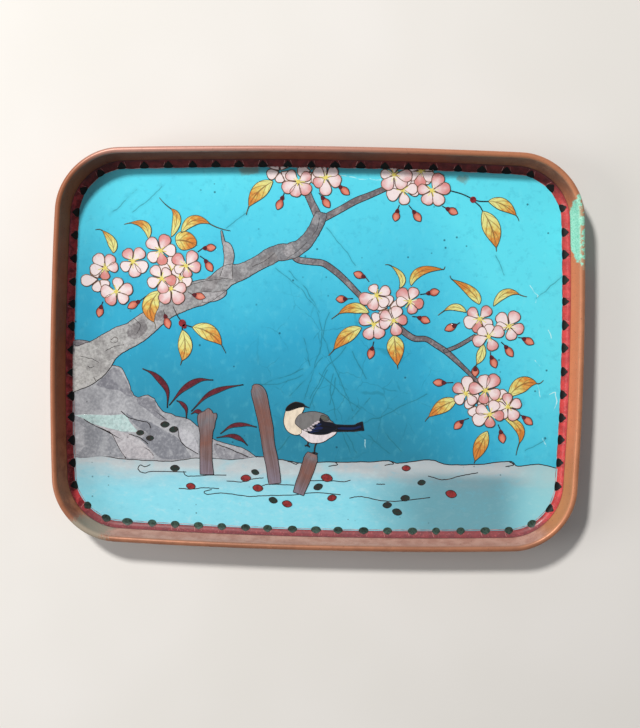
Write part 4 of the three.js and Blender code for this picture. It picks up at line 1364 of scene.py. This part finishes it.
stakes = {
    "middle": ([(-16.8, -10.1, 0.9), (-16.1, -10.9, 2.9), (-15.2, -12.6, 4.0), (-14.3, -16.2, 3.9),
        (-13.2, -21.1, 3.7), (-12.4, -26.4, 3.5), (-11.3, -31.4, 3.5), (-10.5, -36.6, 3.2)], 8.6),
    "right": ([(-0.5, -28.2, 2.6), (-0.9, -29.4, 3.5), (-1.2, -30.6, 3.7), (-2.2, -33.8, 3.5),
        (-3.3, -36.8, 3.3), (-4.1, -39.2, 3.0)], 8.8),
}
broken = [
    (-30.5, -34.5), (-30.8, -34.1), (-30.9, -30.6), (-31.0, -27.3), (-31.0, -23.9), (-31.3, -22.0),
    (-31.7, -20.2), (-31.7, -18.6),
    (-31.1, -17.9), (-30.0, -17.4), (-29.4, -16.9), (-28.8, -16.6), (-28.0, -17.2), (-27.5, -17.9),
    (-26.7, -17.9),
    (-26.5, -18.8), (-26.9, -20.1), (-27.1, -21.7), (-27.5, -22.8), (-27.7, -25.1), (-27.7, -27.9),
    (-27.6, -30.9),
    (-27.2, -34.1), (-27.5, -34.5),
]


def makeStakes(line):
    shell = Shell()
    for stops, layer in stakes.values():
        paths, widths = widePath(stops, 60)
        widths = rippled(widths, 0.05, len(stops), 5, 2)
        shell.bars(paths, widths, layer)
        line.append((rimOf(paths, widths)[0], layer + 0.5, True))
    # The left stake is broken off, so it is drawn by its outline.
    edge = curveThrough(broken, 110, closed=True)
    flat, _ = patches(edge[None], 8.4)
    low, high = edge.min(0), edge.max(0)
    uv = ((flat[..., :2] - low) / (high - low))[..., ::-1]
    uv[..., 0] = 1 - uv[..., 0]
    shell.add(flat, uv=uv)
    line.append((edge, 8.9, True))
    nodes = ["stake_left_enamel", "stake_middle_enamel", "stake_right_enamel"]
    shell.build("stakes", stakeFinish(), nodes, "stake_enamel")
    print("stakes made")


def stakeFinish():
    # Brown and grey by turns down each stake, with grain along it.
    finish = Finish("stakeEnamel")
    u, v = finish.inFigure()
    cloud = (finish.noise(3.0, 3.0) - 0.5) * 0.5
    stops = [
        (0, rgb(140, 112, 110)), (0.18, rgb(122, 117, 122)), (0.34, rgb(126, 104, 104)),
        (0.52, rgb(130, 90, 81)), (0.72, rgb(126, 104, 104)), (1, rgb(132, 122, 136)),
    ]
    colour = finish.ramp(u + cloud, stops)
    grain = finish.node("CombineXYZ", sockets={"X": u * 2.0, "Y": v * 14.0})
    streak = finish.noise(1.0, 4.0, where=grain)
    colour = finish.mix(0.5 * finish.fade(streak, 0.55, 0.38), colour, rgb(92, 68, 64))
    colour = finish.mix(0.35 * finish.fade(streak, 0.58, 0.72), colour, rgb(188, 150, 132))
    return polished(finish, colour)


bird = {
    "parts": [  # outline, colour, layer
        ([(-4.5, -22.5), (-3.3, -21.7), (-0.8, -22.2), (1.7, -22.5), (3.4, -22.5), (5.8, -22.2),
            (5.3, -23.1), (3.8, -24.1), (2.8, -24.8), (1.4, -25.3), (-0.5, -25.4), (-1.8, -25.0),
            (-2.9, -24.1), (-3.9, -23.4)], (232, 220, 222), 9.4),
        ([(-7.7, -16.6), (-8.2, -18.0), (-8.4, -19.7), (-8.0, -21.3), (-7.1, -22.5), (-6.0, -23.1),
            (-4.8, -23.3), (-3.6, -22.8), (-3.6, -21.4), (-3.9, -20.0), (-4.0, -18.4), (-3.3, -16.9),
            (-3.0, -15.8), (-4.4, -15.6), (-6.1, -16.0)], (236, 221, 198), 9.7),
        ([(-5.3, -20.1), (-5.1, -18.9), (-4.1, -17.7), (-2.7, -17.2), (-1.1, -16.9), (0.8, -17.0),
            (2.5, -17.5), (3.5, -18.1), (4.0, -19.0), (5.0, -19.9), (3.3, -20.8), (1.3, -21.6),
            (-0.8, -22.4), (-2.2, -22.3), (-3.7, -21.6), (-4.7, -20.8)], (122, 120, 120), 10.0),
        ([(1.4, -18.5), (2.1, -19.3), (3.3, -19.6), (4.7, -19.8), (5.6, -20.3), (6.0, -21.3),
            (5.0, -22.1), (3.2, -22.9), (1.1, -23.1), (-0.8, -22.9), (-1.9, -22.5), (-1.1, -21.5),
            (0.0, -20.5), (1.1, -19.7)], (12, 15, 30), 10.3),
        ([(1.6, -17.9), (2.5, -17.9), (3.4, -18.4), (3.7, -19.1), (2.6, -19.2), (1.7, -18.8)],
            (92, 94, 86), 10.4),
        ([(-7.9, -16.8), (-7.7, -16.0), (-7.1, -15.3), (-6.2, -14.7), (-5.2, -14.4), (-4.0, -14.6),
            (-3.2, -14.9), (-2.8, -15.4), (-3.3, -15.7), (-4.4, -15.9), (-5.8, -16.4), (-6.9, -16.8)],
            (14, 15, 16), 10.3),
    ],
    "strokes": [  # middle and width; colour, layer
        ([(4.6, -21.2, 2.0), (7.8, -21.2, 1.7), (10.7, -21.1, 1.7), (12.0, -20.7, 2.1),
            (13.0, -20.5, 2.4)], (10, 14, 28), 9.9),
        ([(-3.4, -15.3, 0.5), (-2.4, -15.6, 0.36), (-1.5, -15.9, 0.1)], (34, 32, 32), 10.2),
        ([(6.2, -21.3, 0.3), (8.0, -21.2, 0.8), (10.4, -21.1, 0.8), (12.4, -20.6, 0.5)],
            (16, 36, 78), 10.6),
        ([(-1.2, -22.5, 0.2), (0.0, -21.9, 1.0), (1.2, -21.4, 1.2), (2.2, -21.2, 0.2)], (24, 36, 80), 10.6),
        ([(0.3, -20.6, 0.2), (1.0, -20.4, 0.6), (1.8, -20.2, 0.2)], (34, 46, 92), 10.6),
    ],
    "bars": [
        [(5.0, -20.7), (8.0, -20.8), (10.8, -20.7), (12.8, -19.9)], [(5.0, -21.7), (8.0, -21.8),
            (10.8, -21.7), (13.0, -21.3)],
        [(1.0, -20.8), (3.2, -20.9), (6.0, -21.2)], [(-0.8, -22.2), (1.2, -21.8), (3.6, -21.8)],
        [(-0.4, -22.6), (1.8, -22.5), (4.4, -22.3)],
    ],
    "flecks": [(0.9, -19.6), (0.3, -20.0), (-0.4, -20.4), (-1.0, -20.9), (-1.7, -21.4), (-2.5, -21.9),
        (-1.3, -21.9), (-0.6, -21.3)],
    "legs": [[(0.5, -25.3), (0.1, -26.5), (0.0, -28.2)], [(-1.7, -25.0), (-1.9, -26.3)],
        [(-0.7, -28.1), (0.0, -27.9), (0.9, -28.3)], [(-2.6, -26.2), (-1.9, -26.0), (-1.3, -26.5)]],
}


def makeBird(line):
    shell = Shell()
    for outline, colour, layer in bird["parts"]:
        edge = curveThrough(outline, 44, closed=True)
        shell.plates(edge[None], layer, rgb(*colour))
        line.append((edge, layer + 0.2, True))
    for i, (stops, colour, layer) in enumerate(bird["strokes"]):
        paths, widths = widePath(stops, 30)
        shell.bars(paths, widths, layer, rgb(*colour))
        if i == 0:  # the tail has a wire round it
            line.append((rimOf(paths, widths)[0], layer + 0.3, True))
    # Dark bars along the tail and the wing, and pale flecks on the wing's shoulder.
    paths = np.stack([curveThrough(bar, 16) for bar in bird["bars"]])
    widths = 0.3 * np.sin(np.linspace(0.3, np.pi - 0.2, 16)) * np.ones((len(paths), 1))
    shell.bars(paths, widths, 10.7, rgb(10, 11, 16))
    spots = np.array(bird["flecks"])
    size = chance.uniform(0.26, 0.44, len(spots))[:, None]
    shell.plates(ovals(spots, size * 1.3, size * 0.7, 12), 10.9, rgb(206, 194, 200))
    finish = tintFinish("birdEnamel", 0.7, rgb(26, 23, 26), 0.15, 20, (1.0, 0.4, 1))
    shell.build("birdParts", finish, ["bird_enamel"], "bird_enamel")
    legs = Shell()
    for path in bird["legs"]:
        legs.add(wires(curveThrough(path, 10)[None], 9.9, False, 0.2))
    legs.build("birdLegs", wireFinish("brassWire"), slot="bird_enamel", smooth=True)
    print("bird made")


grass = {
    "blades": [  # four points from root to tip, width
        ([(-40.0, -16.7), (-40.2, -11.8), (-43.5, -7.9), (-46.9, -6.2)], 1.9),
        ([(-39.5, -16.0), (-35.9, -11.7), (-31.7, -9.1), (-27.7, -8.9)], 1.9),
        ([(-33.5, -17.5), (-29.3, -13.2), (-24.8, -11.1), (-19.5, -10.0)], 1.6),
        ([(-34.8, -19.5), (-34.9, -16.9), (-36.2, -15.3), (-37.5, -14.7)], 1.2),
        ([(-25.5, -23.4), (-22.6, -21.3), (-19.0, -20.8), (-15.7, -21.4)], 1.3),
        ([(-26.5, -24.5), (-22.6, -23.9), (-19.9, -24.8), (-18.1, -26.4)], 1.5),
        ([(-33.5, -18.2), (-32.2, -17.5), (-31.0, -17.7), (-30.0, -18.1)], 1.3),
    ],
    "fallen": [  # x, y, length, red or green
        (-33.3, -37.8, 2.3, 0), (-18.4, -35.3, 2.5, 0), (-15.1, -37.9, 2.6, 0), (-7.1, -42.0, 2.5, 0),
        (3.5, -34.7, 2.9, 0), (5.0, -40.1, 2.3, 0), (24.8, -31.6, 2.1, 0), (37.0, -38.3, 2.8, 0),
        (-37.7, -33.0, 2.3, 1), (-15.9, -33.6, 1.9, 1), (1.2, -37.2, 2.3, 1), (-10.9, -41.1, 2.2, 1),
        (24.7, -39.7, 2.2, 1), (19.9, -41.7, 2.2, 1), (22.6, -43.5, 2.4, 1), (-40.6, -21.2, 2.2, 1),
        (-38.2, -22.5, 2.2, 1), (-47.3, -23.6, 1.9, 1), (-44.6, -25.0, 1.9, 1), (29.0, -35.4, 1.9, 1),
    ],
}


def makeGrass(line):
    shell = Shell()
    for stops, width in grass["blades"]:
        paths = curveThrough(stops, 40)[None]
        # Widest in the middle, fine as a wire at both ends.
        widths = width * np.sin(np.linspace(0, np.pi, 40))[None] ** 2.6 * 0.76 + 0.1
        shell.bars(paths, widths, 8.0, rgb(106, 38, 50))
        line.append((rimOf(paths, widths)[0], 8.3, True))
    spots = np.array(grass["fallen"])
    half = spots[:, 2:3] / 2
    tilt = chance.normal(0, 0.2, len(spots))[:, None]
    outlines = ovals(spots, half * 1.05, half * 0.62, 24, tilt, 0.12)
    colours = np.array([rgb(148, 50, 50), rgb(36, 54, 48)])
    shell.plates(outlines, 7.2, colours[spots[:, 3].astype(int)])
    line.extend((outline, 7.5, True) for outline in outlines)
    finish = tintFinish("maroonLeafEnamel", 0.7, rgb(60, 20, 26), 0.5)
    shell.build("grassAndPetals", finish, slot="bird_enamel")
    print("grass and fallen petals made")


ripples = [
    [(-44.4, -32.2), (-45.8, -32.8), (-47.2, -32.4), (-47.7, -33.6), (-46.1, -34.5), (-43.2, -34.0),
        (-34.6, -34.0)],
    [(-35.4, -33.8), (-34.8, -34.8), (-33.3, -35.1), (-28.3, -34.7), (-23.7, -34.6)],
    [(-23.6, -36.2), (-19.2, -36.3), (-16.5, -35.5), (-13.6, -35.1)],
    [(-14.0, -37.3), (-11.8, -36.8), (-5.3, -36.9)],
    [(-36.6, -38.5), (-33.0, -38.6), (-29.8, -38.2), (-25.6, -38.3)],
    [(-27.6, -38.6), (-29.6, -39.2), (-28.8, -39.9), (-25.4, -39.5), (-22.6, -39.7), (-17.0, -40.2),
        (-12.9, -39.9), (-5.3, -39.5), (0.6, -38.8), (7.3, -39.2)],
    [(-1.0, -35.6), (5.2, -35.5), (8.1, -35.7), (9.9, -35.2)],
    [(9.7, -40.1), (12.0, -39.6), (14.3, -39.8), (18.7, -40.6), (23.3, -40.5), (31.4, -39.4)],
    [(16.9, -36.1), (19.2, -36.1)],
    [(30.7, -33.6), (35.0, -34.5), (39.4, -33.4), (44.1, -32.4)],
    [(-4.2, -30.9), (-5.0, -31.2), (-6.3, -30.7), (-7.2, -30.5)],
    [(5.7, -30.4), (6.3, -31.1), (5.0, -31.4), (3.9, -31.6)],
    [(20.6, -29.8), (21.4, -30.5), (20.4, -30.7), (19.0, -31.0)],
    [(52.4, -29.3), (53.6, -30.0), (52.6, -30.4), (51.4, -30.6)],
]


def makeLines(line):
    # Every wire of the picture that isn't a petal's, a leaf's or a bud's.
    shell = Shell()
    for path, layer, meets in line:
        shell.add(wires(path[None], layer, meets), meets=meets)
    waterline = shiver(curveThrough(fields["waterline"], 220), 0.07, 8)
    shell.add(wires(waterline[None], 1.8, False, fields["wireRadius"]))
    for path in ripples:
        path = shiver(curveThrough(path, 12 * len(path)), 0.04, len(path))
        shell.add(wires(path[None], 2.2, False, fields["wireRadius"]))
    shell.build("pictureWires", wireFinish("brassWire"), smooth=True)
    print("picture wires made")


# Stage


studio = {
    "floorHalf": 3,  # metres
    "airColour": (0.95, 0.97, 1.0, 1),
    "airStrength": 0.22,
    "lamps": [  # name, place in metres, size, power, colour
        ("key", (-0.372, 0.53, 0.762), 0.12, 9.1, (1.0, 0.98, 0.95)),
        ("fill", (-0.52, -0.06, 0.30), 0.35, 1.3, (1.0, 0.97, 0.95)),
    ],
}


def makeStage():
    half = studio["floorHalf"]
    corners = [(-half, -half, 0), (half, -half, 0), (half, half, 0), (-half, half, 0)]
    mesh = bpy.data.meshes.new("floor")
    mesh.from_pydata(corners, [], [(0, 1, 2, 3)])
    floor = bpy.data.objects.new("floor", mesh)
    bpy.context.scene.collection.objects.link(floor)
    finish = Finish("paleFloor")
    cloud = finish.fade(finish.noise(60.0, 2.0), 0.3, 0.7)
    tone = finish.mix(cloud, rgb(226, 223, 218), rgb(230, 227, 223))
    mesh.materials.append(finish.done(base_color=tone, roughness=0.85, specular=0.1))

    world = bpy.data.worlds.new("studio")
    world.use_nodes = True
    air = world.node_tree.nodes["Background"].inputs
    air["Color"].default_value = studio["airColour"]
    air["Strength"].default_value = studio["airStrength"]
    bpy.context.scene.world = world

    for name, place, size, power, colour in studio["lamps"]:
        light = bpy.data.lights.new(name, "AREA")
        light.shape, light.size, light.energy, light.color = "DISK", size, power, colour
        lamp = bpy.data.objects.new(name, light)
        lamp.location = place
        lamp.rotation_euler = (-Vector(place)).to_track_quat("-Z", "Y").to_euler()
        bpy.context.scene.collection.objects.link(lamp)
    bpy.context.scene.view_settings.view_transform = "Standard"
    print("stage made")


view = {
    "place": (8.706, 3.208, 268.879),  # from the middle of the enamel's top
    "ahead": (-0.0283, -0.0269, -0.9992),
    "up": (-0.0196, 0.9995, -0.0263),
    "sensor": 36,
    "lens": 1000 / 728 * 36,  # 1000 rows of the picture's 728
}


def makeCamera():
    data = bpy.data.cameras.new("camera")
    data.lens, data.sensor_width, data.clip_start = view["lens"], view["sensor"], 0.01
    camera = bpy.data.objects.new("camera", data)
    ahead, up = Vector(view["ahead"]).normalized(), Vector(view["up"])
    right = ahead.cross(up).normalized()
    up = right.cross(ahead)
    place = (Vector(view["place"]) + Vector((0, 0, enamelTop))) / 1000
    turned = Matrix((right, up, -ahead)).transposed().to_4x4()
    camera.matrix_world = Matrix.Translation(place) @ turned
    bpy.context.scene.collection.objects.link(camera)
    bpy.context.scene.camera = camera
    print("camera made")


makeCamera()
makeStage()
makePan()
makeBorder()
makeLappets()
makeSky()
makeWater()
lineWork = []  # what gets a wire: its points, its layer and whether it closes on itself
makeRocks(lineWork)
makeBranch(lineWork)
makeStakes(lineWork)
makeGrass(lineWork)
makeBird(lineWork)
makeLeaves()
makeBuds()
makeBlossoms()
makeLines(lineWork)
